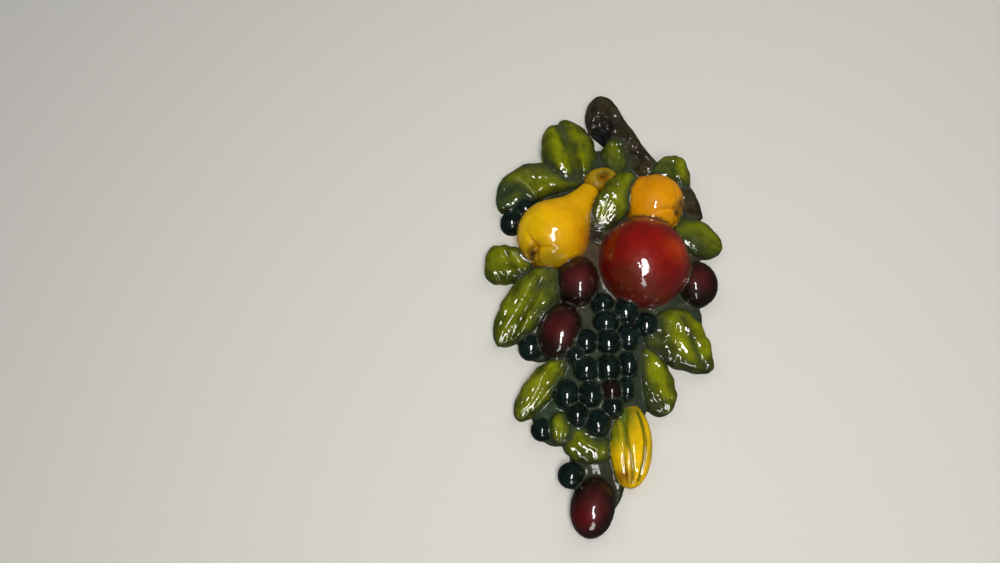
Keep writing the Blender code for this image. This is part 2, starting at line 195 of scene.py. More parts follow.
# The pears, turned about the line from the bulb to the neck's end. Each is across, up, rise, and a radius.
pears = {
    "pearLeft": {"bulb": (-29.5, 168.4, 10.5, 20.6), "neckEnd": (-4.5, 197.5, 14), "tone": 0.45},
    "pearRight": {"bulb": (29.8, 187.6, 11.5, 17.6), "neckEnd": (2, 202, 13), "tone": 0.75},
}
pearTurning = {
    # The half width along the neck, in bulb radii, at shares of the way to the neck's end.
    "neck": ((0, 1), (0.18, 0.94), (0.36, 0.74), (0.55, 0.5), (0.75, 0.36), (0.93, 0.28), (1, 0)),
    "stepsNeck": 48,
    "stepsBulb": 36,
    "stepsRound": 96,
}


# A smooth curve through evenly numbered points, read at way (from 0 to the last point's number).
def readCurve(points, way):
    last = len(points) - 1
    i = min(int(way), last - 1)
    t = way - i
    p0, p1, p2, p3 = (Vector(points[max(0, min(last, i + k))]) for k in (-1, 0, 1, 2))
    bend = (2 * p0 - 5 * p1 + 4 * p2 - p3) * t**2 + (3 * p1 - p0 - 3 * p2 + p3) * t**3
    return 0.5 * (2 * p1 + (p2 - p0) * t + bend)


def addPears():
    for name, pear in pears.items():
        across, up, rise, radius = pear["bulb"]
        start, end = place(across, up, rise), place(*pear["neckEnd"])
        axis = end - start
        length = axis.length / mm
        steps, neck = pearTurning["stepsNeck"], pearTurning["neck"]
        profile = []
        for step in range(steps + 1):
            way, share = readCurve(neck, (1 - step / steps) * (len(neck) - 1))
            profile.append((max(share, 0.0) * radius, way * length))
        for step in range(1, pearTurning["stepsBulb"] + 1):
            angle = step / pearTurning["stepsBulb"] * math.pi / 2
            profile.append((radius * math.cos(angle), -radius * math.sin(angle)))
        bm = bmesh.new()
        outline = [bm.verts.new((r * mm, 0.0, h * mm)) for r, h in profile]
        edges = [bm.edges.new(pair) for pair in zip(outline, outline[1:])]
        bmesh.ops.spin(
            bm, geom=outline + edges, axis=(0, 0, 1), cent=(0, 0, 0), angle=math.tau, steps=pearTurning["stepsRound"]
        )
        bmesh.ops.remove_doubles(bm, verts=bm.verts[:], dist=weldWithin)
        bm.transform(Matrix.Translation(start) @ axis.to_track_quat("Z", "Y").to_matrix().to_4x4())
        addForm(name, "pear", bm, tone=pear["tone"])


# The ribbed yellow fruit at the foot.
pod = {
    "middle": (8.9, 48.6, 5.5),
    "halves": (11.5, 11.5, 21.6),  # half width, depth and length
    "lean": 4,
    "ribs": 6,
    "ribTurn": -4,  # degrees that the middle rib's crest is turned to the left
    "ribDepth": 0.2,
    "ribFade": 1.5,  # how fast the ribs come in from the ends
    "valleyWidth": 2.2,
    "steps": (168, 96),
}


def addPod():
    bm = bmesh.new()
    bmesh.ops.create_uvsphere(bm, u_segments=pod["steps"][0], v_segments=pod["steps"][1], radius=1.0)
    halfWidth, halfDepth, halfLength = pod["halves"]
    spots = []
    for vert in bm.verts:
        around = math.atan2(vert.co.y, vert.co.x) + math.pi / 2 + math.radians(pod["ribTurn"])
        girth = math.hypot(vert.co.x, vert.co.y)
        crest = abs(math.cos(around * pod["ribs"] / 2))
        valley = (1.0 - crest) ** pod["valleyWidth"]
        spots.append((crest, 0.0, 0.0))
        swell = 1.0 - pod["ribDepth"] * valley * min(1.0, girth * pod["ribFade"])
        vert.co = (vert.co.x * halfWidth * swell, vert.co.y * halfDepth * swell, vert.co.z * halfLength)
    standAt(bm, pod["middle"], pod["lean"])
    addForm("pod", "pod", bm, spots)


# What every leaf starts from. Each leaf changes what it needs.
leafPlain = {
    "bow": 0,  # how far the midrib bends to the left, from base to tip
    "blunt": (0.4, 0.45),  # base and tip, small is blunt
    "narrowest": 0.02,  # the least half width, as a share of the most
    "tilt": 0,
    "rib": 0.3,
    "ribReach": 0.13,
    "puff": 2,
    "puffBend": 1.2,  # the bends say how late towards the edge a shape sets in
    "edgeDrop": 3.2,
    "edgeBend": 5,
    "folds": 2,
    "foldDepth": 0.25,
    "foldLean": 0.9,
    "foldSlant": 0.15,
    "foldBend": 6,
    "scallops": 4,
    "scallop": 0.03,
    "scallopBend": 3,
    "tone": 0.5,
}
leaves = {
    "leafTop": {
        "base": (-14.5, 203), "tip": (-22, 248), "halves": (15, 17.5), "bow": 1, "blunt": (0.5, 0.5),
        "tilt": 1, "rises": (10, 11.5, 6.5), "folds": 1.2, "tone": 0.55,
    },
    "leafTopLeft": {
        "base": (-10, 203.5), "tip": (-62, 192), "halves": (12.5, 12), "bow": -8.5, "blunt": (0.6, 0.34),
        "tilt": 1.5, "rises": (9.5, 11, 6.5), "puff": 0.8, "folds": 1.5, "tone": 0.35,
    },
    "leafByBranch": {
        "base": (9, 208), "tip": (10, 230), "halves": (8.8, 9), "blunt": (0.5, 0.42),
        "rises": (11, 10.5, 13.5), "puff": 1.2, "folds": 2, "tone": 0.15,
    },
    "leafOverPears": {
        "base": (18, 201), "tip": (-5.5, 171.5), "halves": (9.6, 9.6), "blunt": (0.26, 0.36), "rib": 0,
        "tilt": -4, "rises": (22, 21.5, 13), "puff": 0, "edgeDrop": 2, "folds": 1, "foldDepth": 0.03,
    },
    "leafTopRight": {
        "base": (30, 208), "tip": (54, 203), "halves": (9.8, 9.5), "bow": 5.3, "blunt": (0.45, 0.3),
        "rises": (12, 14, 7.5), "puff": 1.2, "folds": 1.5, "tone": 0.4,
    },
    "leafRight": {
        "base": (44, 177), "tip": (69.5, 161.5), "halves": (9.5, 13.5), "bow": 0.5, "blunt": (0.3, 0.5),
        "tilt": -3.5, "rises": (8.5, 9.5, 6), "puff": 1, "folds": 1.5, "tone": 0.25,
    },
    "leafLeftUpper": {
        "base": (-42, 151.5), "tip": (-68.5, 153.5), "halves": (11.8, 11.5), "blunt": (0.45, 0.24),
        "rises": (8.5, 9, 6.5), "folds": 2.2, "tone": 0.5,
    },
    "leafLeft": {
        "base": (-29, 147), "tip": (-61, 105), "halves": (12.5, 13.5), "blunt": (0.35, 0.48),
        "tilt": 2, "rises": (11.5, 11, 6.5), "folds": 2.6, "foldLean": 1.6, "tone": 0.5,
    },
    "leafLeftFoot": {
        "base": (-23.5, 96), "tip": (-50.5, 63), "halves": (6.5, 9.3), "blunt": (0.42, 0.42),
        "rises": (9.5, 10, 6), "folds": 1.6, "tone": 0.65,
    },
    "leafRightBig": {
        "base": (24, 115.5), "tip": (56.5, 89.5), "halves": (18.5, 13), "bow": 0.5, "blunt": (0.3, 0.7),
        "tilt": 1.5, "rises": (9.5, 10.5, 8), "puff": 0.5, "folds": 2.2, "scallop": 0.05, "tone": 0.55,
    },
    "leafRightFoot": {
        "base": (20, 101), "tip": (28, 65), "halves": (10, 9.2), "bow": 0.5, "blunt": (0.5, 0.42),
        "tilt": 1, "rises": (9, 9.5, 10.8), "puff": 0.4, "edgeDrop": 2.6, "folds": 1.8, "scallop": 0.05,
        "tone": 0.55,
    },
    "leafFootCurl": {
        "base": (-27.5, 66), "tip": (-28, 49.5), "halves": (6.2, 6.5), "blunt": (0.4, 0.45),
        "rises": (8.5, 10, 8.8), "folds": 1, "foldDepth": 0.1, "tone": 0.45,
    },
    "leafFoot": {
        "base": (-25, 56), "tip": (0, 46), "halves": (7, 11.5), "blunt": (0.35, 0.5),
        "tilt": -3, "rises": (8.5, 10.5, 8), "puff": 1, "folds": 1.6, "tone": 0.5,
    },
    "leafFootWeb": {
        "base": (-4, 37), "tip": (0.5, 19.5), "halves": (5, 4), "bow": 1, "blunt": (0.4, 0.5),
        "rises": (5, 5.5, 4), "puff": 1, "folds": 1, "foldDepth": 0.1,
    },
}
leafSteps = (72, 44)


def leafHalfWidth(along, leaf):
    base, tip = leaf["blunt"]
    widest = base / (base + tip)
    most = widest**base * (1.0 - widest) ** tip
    return max(along**base * (1.0 - along) ** tip / most, leaf["narrowest"])


# A point on a leaf's top. along runs from base to tip, side from -1 on the right to 1 on the left.
def leafPoint(along, side, leaf):
    base, tip = Vector(leaf["base"]), Vector(leaf["tip"])
    run = tip - base
    leftward = Vector((-run.y, run.x)).normalized()
    hump = 4.0 * along * (1.0 - along)
    out = abs(side)
    share = leafHalfWidth(along, leaf)
    scallop = leaf["scallop"] * math.sin(math.tau * leaf["scallops"] * along + side) * out ** leaf["scallopBend"]
    spine = base + run * along + leftward * leaf["bow"] * hump
    spot = spine + leftward * side * share * (1.0 + scallop) * leaf["halves"][0 if side > 0 else 1]
    low, middle, high = leaf["rises"]
    rise = low + (high - low) * along + (middle - (low + high) / 2) * hump
    rise += leaf["rib"] * math.exp(-((side / leaf["ribReach"]) ** 2)) * share
    rise += leaf["puff"] * math.sin(math.pi * out ** leaf["puffBend"]) * share
    rise -= leaf["edgeDrop"] * out ** leaf["edgeBend"]
    rise += leaf["tilt"] * side * share / 2
    turns = leaf["folds"] * out - leaf["foldLean"] * along * out + leaf["foldSlant"] * side
    rise += leaf["foldDepth"] * math.cos(math.tau * turns) * share * (1.0 - out ** leaf["foldBend"])
    return spot.x, spot.y, rise


def addLeaves():
    for name, changes in leaves.items():
        leaf = {**leafPlain, **changes}
        bm = bmesh.new()
        bmesh.ops.create_grid(bm, x_segments=leafSteps[0], y_segments=leafSteps[1], size=1.0)
        spots = []
        for vert in bm.verts:
            along, side = (1.0 + math.sin(vert.co.x * math.pi / 2)) / 2.0, vert.co.y
            spots.append((along, side, 0.0))
            vert.co = place(*leafPoint(along, side, leaf))
        bm.verts.index_update()
        rim = [edge for edge in bm.edges if edge.is_boundary]
        walls = bmesh.ops.extrude_edge_only(bm, edges=rim)["geom"]
        for item in walls:
            if isinstance(item, bmesh.types.BMVert):
                item.co.y = casting["sink"] * mm
        bmesh.ops.contextual_create(bm, geom=[edge for edge in bm.edges if edge.is_boundary])
        bm.verts.ensure_lookup_table()
        for vert in bm.verts[len(spots):]:
            above = next(e.other_vert(vert) for e in vert.link_edges if e.other_vert(vert).index < len(spots))
            spots.append(spots[above.index])
        addForm(name, "web" if name == "leafFootWeb" else "leaf", bm, spots, leaf["tone"])


# The branch: across, up, rise of the middle and radius, from the broken end down to the right.
branch = {
    "line": (
        (3.6, 257, 3.5, 9.4),
        (5.2, 247.5, 3.5, 11.6),
        (10, 240, 4, 10.6),
        (17, 229.5, 4.5, 9.2),
        (26, 216.5, 4, 8.8),
        (38, 205, 2, 8),
        (50, 195.5, 3, 7.4),
        (54, 180, 3, 6.4),
    ),
    "end": ((0.8, 0.25), (0.72, 0.5), (0.6, 0.72), (0.42, 0.86), (0.2, 0.96)),  # rounding, in radii
    "steps": 90,
    "roundness": 14,
}


def addBranch():
    line, steps = branch["line"], branch["steps"]
    points = [readCurve(line, step / steps * (len(line) - 1)) for step in range(steps + 1)]
    start, leadIn = points[0], (points[0] - points[1]).normalized()
    stretch = [start + leadIn * start.w * past for past, share in branch["end"]] + points
    shares = [share for past, share in branch["end"]] + [1.0] * len(points)
    curve = bpy.data.curves.new("branch", "CURVE")
    curve.dimensions = "3D"
    curve.bevel_depth = mm
    curve.bevel_resolution = branch["roundness"]
    curve.use_fill_caps = True
    spline = curve.splines.new("POLY")
    spline.points.add(len(stretch) - 1)
    for splinePoint, point, share in zip(spline.points, stretch, shares):
        splinePoint.co = (*place(point.x, point.y, point.z), 1.0)
        splinePoint.radius = point.w * share
    guide = newObject("branchGuide", curve)
    bm = bmesh.new()
    bm.from_mesh(finishedMesh(guide))
    bpy.data.objects.remove(guide)
    bmesh.ops.remove_doubles(bm, verts=bm.verts[:], dist=weldWithin)
    middles = np.array([place(p.x, p.y, p.z) for p in points])
    spots = []
    for vert in bm.verts:
        nearest = int(np.argmin(((middles - np.array(vert.co)) ** 2).sum(1)))
        offset = vert.co - Vector(middles[nearest])
        spots.append((nearest / steps, math.atan2(offset.x + offset.z, -offset.y) / math.pi, 0.0))
    addForm("branch", "bark", bm, spots)


# The grapes: across, up, half width and half height. They sit on the bunch's mound.
bunch = {
    "grapes": (
        (-2.8, 126, 6.6, 6.8), (9.8, 122, 7.1, 7.2), (21.4, 115, 6.6, 7.2), (-1.7, 115, 7.2, 6.3),
        (10.5, 107, 6.4, 7.7), (-13.1, 104, 6.4, 7.1), (-1.1, 103.5, 6.6, 7.3), (-19.4, 96.3, 4.8, 5),
        (-13.7, 88.8, 6.9, 6.9), (-1.9, 89.3, 6.9, 7.1), (9, 91, 5.8, 7.2), (-24.4, 75.6, 6.8, 7.8),
        (-11.8, 75.2, 6.3, 7), (-0.7, 77, 6.1, 6.1), (7.3, 77.5, 4.6, 6.7), (-19, 64.6, 6, 6.4),
        (-8.4, 60, 6.8, 7.1), (0, 68, 5.4, 5.4),
    ),
    "middle": (-4, 92),
    "reach": (36, 52),
    "rise": 13,
    "flattest": 0.1,
    "depth": 6.8,
    "brown": 13,  # the one grape whose paint is browner
    "segments": 40,
    "tilt": 7,  # degrees, at random
    "skirt": 3.2,  # how far the back half is drawn out, in half depths
    "seed": 4,
}
# The single grapes along the outline: across, up, radius, rise of the middle.
strayGrapes = (
    (-52.9, 179.2, 6.9, 4),
    (-45, 188, 7.2, 3.5),
    (-43, 103, 6.9, 4),
    (-37.6, 57.4, 6, 4),
    (-23, 33.8, 6.9, 4.5),
)


# High in the middle of the bunch, low at its rim.
def bunchRise(across, up):
    middle, reach = bunch["middle"], bunch["reach"]
    away = math.hypot((across - middle[0]) / reach[0], (up - middle[1]) / reach[1])
    return bunch["rise"] * math.sqrt(max(bunch["flattest"], 1.0 - away**2))


def connect(tree, start, end):
    tree.links.new(start, end)


def addNode(tree, kind, inputs=None, **settings):
    node = tree.nodes.new(kind)
    for name, value in settings.items():
        setattr(node, name, value)
    for name, value in (inputs or {}).items():
        if isinstance(value, bpy.types.NodeSocket):
            tree.links.new(value, node.inputs[name])
        else:
            node.inputs[name].default_value = value
    return node


def doMath(tree, operation, *values, **settings):
    return addNode(tree, "ShaderNodeMath", dict(enumerate(values)), operation=operation, **settings).outputs[0]


def doVector(tree, operation, *values, **inputs):
    node = addNode(tree, "ShaderNodeVectorMath", {**dict(enumerate(values)), **inputs}, operation=operation)
    return node.outputs["Value" if operation == "LENGTH" else "Vector"]


def joinParts(tree, x, y, z):
    return addNode(tree, "ShaderNodeCombineXYZ", {"X": x, "Y": y, "Z": z}).outputs[0]


# Geometry Nodes: a grape on each point, as wide, high and deep as the point's "halves", a little tilted.
def grapeTree():
    tree = bpy.data.node_groups.new("grapesOnPoints", "GeometryNodeTree")
    tree.is_modifier = True
    kinds = {"Geometry": "Geometry", "Segments": "Int", "Skirt": "Float", "Tilt": "Float", "Seed": "Int"}
    for name, kind in {**kinds, "Paint": "Material"}.items():
        tree.interface.new_socket(name, in_out="INPUT", socket_type="NodeSocket" + kind)
    tree.interface.new_socket("Geometry", in_out="OUTPUT", socket_type="NodeSocketGeometry")
    entry = tree.nodes.new("NodeGroupInput").outputs
    result = tree.nodes.new("NodeGroupOutput").inputs
    inputs = {"Segments": entry["Segments"], "Rings": entry["Segments"], "Radius": 1.0}
    ball = addNode(tree, "GeometryNodeMeshUVSphere", inputs).outputs["Mesh"]
    # The back half is drawn out into a skirt: how far round the back each point was says how far it goes.
    position = tree.nodes.new("GeometryNodeInputPosition").outputs["Position"]
    parts = addNode(tree, "ShaderNodeSeparateXYZ", {"Vector": position}).outputs
    sine = doMath(tree, "MULTIPLY", parts["Z"], -1.0, use_clamp=True)
    share = doMath(tree, "MULTIPLY", doMath(tree, "ARCSINE", sine), 2 / math.pi)
    rim = doVector(tree, "NORMALIZE", joinParts(tree, parts["X"], parts["Y"], 0.0))
    around = doVector(tree, "SCALE", rim, Scale=doMath(tree, "MULTIPLY_ADD", share, -casting["undercut"], 1.0))
    back = doMath(tree, "MULTIPLY", doMath(tree, "MULTIPLY", share, entry["Skirt"]), -1.0)
    skirt = doVector(tree, "ADD", around, joinParts(tree, 0.0, 0.0, back))
    behind = addNode(tree, "FunctionNodeCompare", {0: parts["Z"], 1: -0.001}, operation="LESS_THAN").outputs[0]
    inputs = {"Geometry": ball, "Selection": behind, "Position": skirt}
    grape = addNode(tree, "GeometryNodeSetPosition", inputs).outputs[0]
    # Each grape faces out of the wall, and leans a few degrees at random.
    tilts = (doMath(tree, "MULTIPLY", entry["Tilt"], -1.0), entry["Tilt"])
    inputs = {"Seed": entry["Seed"], **{i: joinParts(tree, tilt, tilt, tilt) for i, tilt in enumerate(tilts)}}
    lean = addNode(tree, "FunctionNodeRandomValue", inputs, data_type="FLOAT_VECTOR").outputs[0]
    turn = doVector(tree, "ADD", lean, (math.pi / 2, 0.0, 0.0))
    halves = addNode(tree, "GeometryNodeInputNamedAttribute", {"Name": "halves"}, data_type="FLOAT_VECTOR")
    inputs = {"Points": entry["Geometry"], "Instance": grape, "Rotation": turn, "Scale": halves.outputs[0]}
    spread = addNode(tree, "GeometryNodeInstanceOnPoints", inputs)
    solid = addNode(tree, "GeometryNodeRealizeInstances", {"Geometry": spread.outputs[0]})
    painted = addNode(tree, "GeometryNodeSetMaterial", {"Geometry": solid.outputs[0], "Material": entry["Paint"]})
    connect(tree, painted.outputs[0], result[0])
    return tree


def addGrapes(paint):
    rows = [(across, up, bunchRise(across, up), w, h, bunch["depth"]) for across, up, w, h in bunch["grapes"]]
    rows += [(across, up, rise, radius, radius, radius) for across, up, radius, rise in strayGrapes]
    mesh = bpy.data.meshes.new("grapeMiddles")
    mesh.from_pydata([place(*row[:3]) for row in rows], [], [])
    halves = mesh.attributes.new("halves", "FLOAT_VECTOR", "POINT")
    halves.data.foreach_set("vector", (np.array([row[3:] for row in rows]) * mm).ravel())
    obj = newObject("grapes", mesh)
    modifier = obj.modifiers.new("grapesOnPoints", "NODES")
    modifier.node_group = grapeTree()
    values = {
        "Segments": bunch["segments"],
        "Skirt": bunch["skirt"],
        "Tilt": math.radians(bunch["tilt"]),
        "Seed": bunch["seed"],
        "Paint": paint,
    }
    for item in modifier.node_group.interface.items_tree:
        if item.in_out == "INPUT" and item.name in values:
            modifier[item.identifier] = values[item.name]
    baked = finishedMesh(obj)
    bpy.data.objects.remove(obj)
    each = len(baked.vertices) // len(rows)
    bankMesh(baked, len(formBook) + np.arange(len(baked.vertices)) // each)
    for number in range(len(rows)):
        tone = 1 if number == bunch["brown"] else 0
        formBook.append({"name": f"grape{number}", "paint": paints.index("grape"), "tone": tone})
    print("grapes", len(rows), "points each", each)


# Melts the banked forms into one skin, cuts the back flat and sinks the nail pocket.
def meltForms():
    mesh = bpy.data.meshes.new("fruitCasting")
    mesh.from_pydata(np.concatenate(bank["points"]).tolist(), [], np.concatenate(bank["faces"]).tolist())
    obj = newObject("fruitCasting", mesh)
    melt = obj.modifiers.new("melt", "REMESH")
    melt.mode = "VOXEL"
    melt.voxel_size = casting["voxel"] * mm
    soften = obj.modifiers.new("soften", "SMOOTH")
    soften.factor = casting["soften"]
    soften.iterations = casting["softenRounds"]
    obj.modifiers.new("flatFaces", "TRIANGULATE")
    cutters = [backSlab(), nailPocket()]
    for cutter in cutters:
        cut = obj.modifiers.new(cutter.name, "BOOLEAN")
        cut.operation = "DIFFERENCE"
        cut.solver = "MANIFOLD"
        cut.object = cutter
    applyModifiers(obj)
    for cutter in cutters:
        bpy.data.objects.remove(cutter)
    bm = bmesh.new()
    bm.from_mesh(obj.data)
    bmesh.ops.triangulate(bm, faces=bm.faces[:])
    bm.to_mesh(obj.data)
    bm.free()
    print("melted", len(obj.data.polygons), "faces")
    return obj


def backSlab():
    width, middle, thickness, squares = casting["backSlab"]
    bm = bmesh.new()
    stand = Matrix.Translation(place(0.0, middle, 0.0)) @ Matrix.Rotation(math.radians(90), 4, "X")
    bmesh.ops.create_grid(bm, x_segments=squares, y_segments=squares, size=width / 2 * mm, matrix=stand)
    for item in bmesh.ops.extrude_face_region(bm, geom=bm.faces[:])["geom"]:
        if isinstance(item, bmesh.types.BMVert):
            item.co.y += thickness * mm
    return newObject("backSlab", closedMesh("backSlab", bm))


def nailPocket():
    bm = bmesh.new()
    bmesh.ops.create_cube(bm, size=1.0)
    size = Vector((pocket["width"], pocket["depth"] + casting["sink"], pocket["height"])) * mm
    middle = Vector((0.0, casting["sink"] / 2 - pocket["depth"] / 2, -pocket["below"] - pocket["height"] / 2)) * mm
    bm.transform(Matrix.Translation(middle) @ Matrix.Diagonal((*size, 1.0)))
    upright = [e for e in bm.edges if abs(e.verts[0].co.y - e.verts[1].co.y) > size.y / 2]
    corner, steps = pocket["corner"] * mm, pocket["cornerSteps"]
    bmesh.ops.bevel(bm, geom=upright, offset=corner, segments=steps, affect="EDGES", profile=0.5)
    return newObject("nailPocket", closedMesh("nailPocket", bm))


# For each point of the skin: which form it lies on, and where on it, read from the nearest banked triangle.
def readForms(points):
    corners, faces = np.concatenate(bank["points"]), np.concatenate(bank["faces"])
    spots, forms = np.concatenate(bank["spots"]), np.concatenate(bank["forms"])
    tree = BVHTree.FromPolygons(corners.tolist(), faces.tolist(), all_triangles=True)
    found = [tree.find_nearest(point) for point in points.tolist()]
    hit = np.array([f[0] for f in found])
    face = faces[[f[2] for f in found]]
    a, b, c = corners[face[:, 0]], corners[face[:, 1]], corners[face[:, 2]]
    whole = np.maximum(np.linalg.norm(np.cross(b - a, c - a), axis=1), 1e-12)
    weightA = np.linalg.norm(np.cross(b - hit, c - hit), axis=1) / whole
    weightB = np.linalg.norm(np.cross(c - hit, a - hit), axis=1) / whole
    weightC = np.clip(1.0 - weightA - weightB, 0.0, 1.0)
    weights = np.stack([weightA, weightB, weightC], 1)
    spot = (spots[face] * weights[:, :, None]).sum(1) / np.maximum(weights.sum(1), 1e-6)[:, None]
    return forms[face[:, 0]], spot


def onForms(forms, *names):
    return np.isin(forms, [i for i, form in enumerate(formBook) if form["name"] in names])


# 1 at no distance, and next to nothing past about twice the reach.
def fade(away, reach):
    return np.exp(-((away / reach) ** 2))


# How far each point lies from a line of points, seen from the front, in mm.
def distanceTo(line, across, up):
    best = np.full(len(across), 1e6)
    for (x0, y0), (x1, y1) in zip(line, line[1:]):
        dx, dy = x1 - x0, y1 - y0
        t = np.clip(((across - x0) * dx + (up - y0) * dy) / (dx * dx + dy * dy), 0, 1)
        best = np.minimum(best, np.hypot(across - x0 - t * dx, up - y0 - t * dy))
    return best


# The folds of the leaves, mounds and pod: how far each stands proud, its half width, and its line (across, up).
folds = {
    "leafTop": (
        (-1.9, 2.6, ((-25, 246), (-21.5, 235), (-17.7, 224), (-14.5, 214), (-13, 206))),
        (0.48, 0.8, ((-14.5, 238), (-12.5, 228), (-10.8, 219), (-10, 211))),
        (0.48, 0.8, ((-25, 222), (-23.5, 214), (-20, 209))), (1.2, 4, ((-29, 239), (-28, 229), (-24, 215))),
        (0.54, 1.4, ((-16, 242), (-13, 232), (-11.5, 223), (-10.5, 213))),
        (-0.24, 0.9, ((-19.5, 241), (-16, 231), (-13.5, 221))),
    ),
    "leafTopLeft": (
        (0.7, 3.4, ((-58, 204.5), (-48, 208.5), (-38, 208), (-28, 204))),
        (-1, 3.2, ((-60, 196), (-52, 200), (-46, 198), (-43, 191))),
        (0.54, 0.7, ((-50, 205.5), (-44.5, 201), (-41, 196), (-38, 192))),
        (-0.6, 0.9, ((-42, 201.5), (-39, 196.5), (-37, 193))), (1.3, 2.4, ((-36.5, 199), (-30, 200.5), (-23, 201))),
        (-0.42, 1, ((-40, 204.5), (-32, 203.5), (-22, 203.5))),
    ),
    "leafByBranch": (
        (0.9, 1.8, ((7, 213), (7.5, 222), (8, 229))), (-0.42, 0.9, ((11.5, 213), (12, 222), (12.5, 229))),
        (0.54, 1.2, ((14, 215), (14.5, 226))), (-0.36, 0.8, ((3.5, 213), (3.5, 225))),
    ),
    "leafOverPears": (
        (0.2, 0.8, ((-5.5, 173), (-4.5, 180), (-2.5, 187))), (0.24, 0.8, ((-4, 173), (-1, 180), (2.5, 188))),
        (0.24, 0.8, ((-2.5, 173), (2, 180), (7, 188))), (0.24, 0.8, ((-1, 173), (5, 179), (11, 187))),
        (0.2, 0.8, ((2, 173), (8.5, 179), (14.5, 186))), (-0.15, 0.8, ((14, 197), (6, 187), (-1, 178))),
    ),
    "leafTopRight": (
        (-1.2, 2.4, ((41.5, 213), (43, 208), (45.5, 202))), (0.9, 2.8, ((48.5, 216), (49, 206))),
        (0.5, 2.6, ((33, 215), (39, 217.5))), (0.54, 1.2, ((37, 211), (40, 207))),
        (0.36, 0.8, ((45.5, 206), (47.5, 201))),
    ),
    "leafRight": (
        (0.5, 2.4, ((52, 174.5), (58, 173), (62.5, 169.5))), (-0.4, 1.4, ((52, 171), (60, 168), (66.5, 162.5))),
        (0.5, 2.4, ((52, 166.5), (58, 165), (66, 160.5))), (-0.3, 0.9, ((56, 162), (66, 158.5))),
    ),
    "leafLeftUpper": (
        (1, 1.8, ((-66, 156), (-60, 156.5), (-56, 152))), (0.84, 1.3, ((-54, 158), (-49.5, 153), (-45, 147))),
        (-0.6, 1.6, ((-56.5, 157), (-54, 151), (-49, 146))), (0.6, 1, ((-65, 147), (-61, 141), (-58, 139))),
        (-0.48, 1, ((-63, 151), (-57, 144))),
    ),
    "leafLeft": (
        (1.08, 1.6, ((-41, 142), (-44.5, 134), (-51, 122), (-59, 110), (-61, 104))),
        (-1.4, 1.8, ((-37.5, 139), (-41, 131), (-47, 120), (-54, 107))),
        (0.6, 0.9, ((-34, 137), (-38.5, 128), (-44, 120), (-48, 110))), (0.3, 0.5, ((-44.5, 127), (-45, 115))),
        (0.54, 1.4, ((-54, 134), (-58, 122))), (-0.3, 1.2, ((-50, 137), (-54, 127), (-59.5, 114))),
    ),
    "leafLeftFoot": (
        (0.9, 1.2, ((-26, 94.5), (-33, 90), (-37, 85), (-40, 78), (-44, 71), (-50, 65))),
        (-0.72, 1.5, ((-27, 90), (-36, 79), (-43, 67))),
        (0.78, 0.9, ((-24, 88), (-30, 81), (-33, 74), (-37, 68), (-44, 63.5))),
        (-0.48, 1.2, ((-37, 91), (-43, 82), (-48, 71))),
    ),
    "leafRightBig": (
        (0.9, 3.2, ((34, 116), (32.6, 108), (32.2, 100), (32.4, 95))),
        (-0.5, 1.6, ((37, 114), (35.6, 104), (36, 95))), (0.25, 2.6, ((39, 113), (40, 105), (42, 96))),
        (0.5, 1, ((41.5, 117), (44.5, 111))), (-0.4, 1, ((51, 106), (56, 109.5))), (0.4, 1, ((51, 97), (54, 92))),
        (0.5, 1.2, ((27, 117), (27, 108))),
    ),
    "leafRightFoot": (
        (0.7, 1.2, ((16.3, 88), (18.2, 83), (20, 78.5), (22.3, 75))),
        (-0.4, 1.6, ((21.5, 91), (22.6, 83), (25, 74), (27, 67))), (0.7, 2.6, ((25, 94), (27, 82), (29, 71))),
        (-0.25, 0.6, ((26, 91), (28, 84))), (-0.35, 0.8, ((30.5, 84), (31, 72))),
        (-0.5, 0.8, ((21.5, 72), (25.5, 66.5))), (-0.6, 0.7, ((26, 72), (27, 66))),
        (-0.5, 0.7, ((28.8, 73), (28.6, 67))),
    ),
    "moundPears": (
        (1.3, 0.8, ((-4, 171), (0, 170), (4, 168))), (1.3, 0.8, ((-5, 165), (-1, 163), (1, 159))),
    ),
    "pod": (
        (0.5, 0.7, ((1.5, 64), (2.2, 58), (2.6, 52), (4.4, 44), (5.6, 36), (6.2, 31))),
        (-0.7, 0.9, ((4.2, 66), (5, 58), (5.4, 52), (7, 44), (7.8, 36), (7.6, 30))),
        (0.5, 0.7, ((11, 65), (12.6, 58), (13.4, 50), (12, 41), (10, 32))),
        (-0.7, 0.9, ((13, 66), (15, 58), (15.8, 50), (14.2, 41), (11.4, 31))),
    ),
    "leafFootCurl": (
        (0.9, 2.4, ((-28, 62), (-27.5, 54))),
    ),
    "leafFoot": (
        (0.96, 0.9, ((-21, 58), (-18, 52), (-14, 48.5), (-9, 46), (-5, 45))),
        (0.72, 0.9, ((-24.5, 52), (-23, 46), (-20.5, 41.5))), (-0.7, 2.4, ((-18.5, 47), (-12, 43))),
        (0.42, 0.7, ((-1, 45), (-5, 41.5), (-9, 39))),
    ),
}
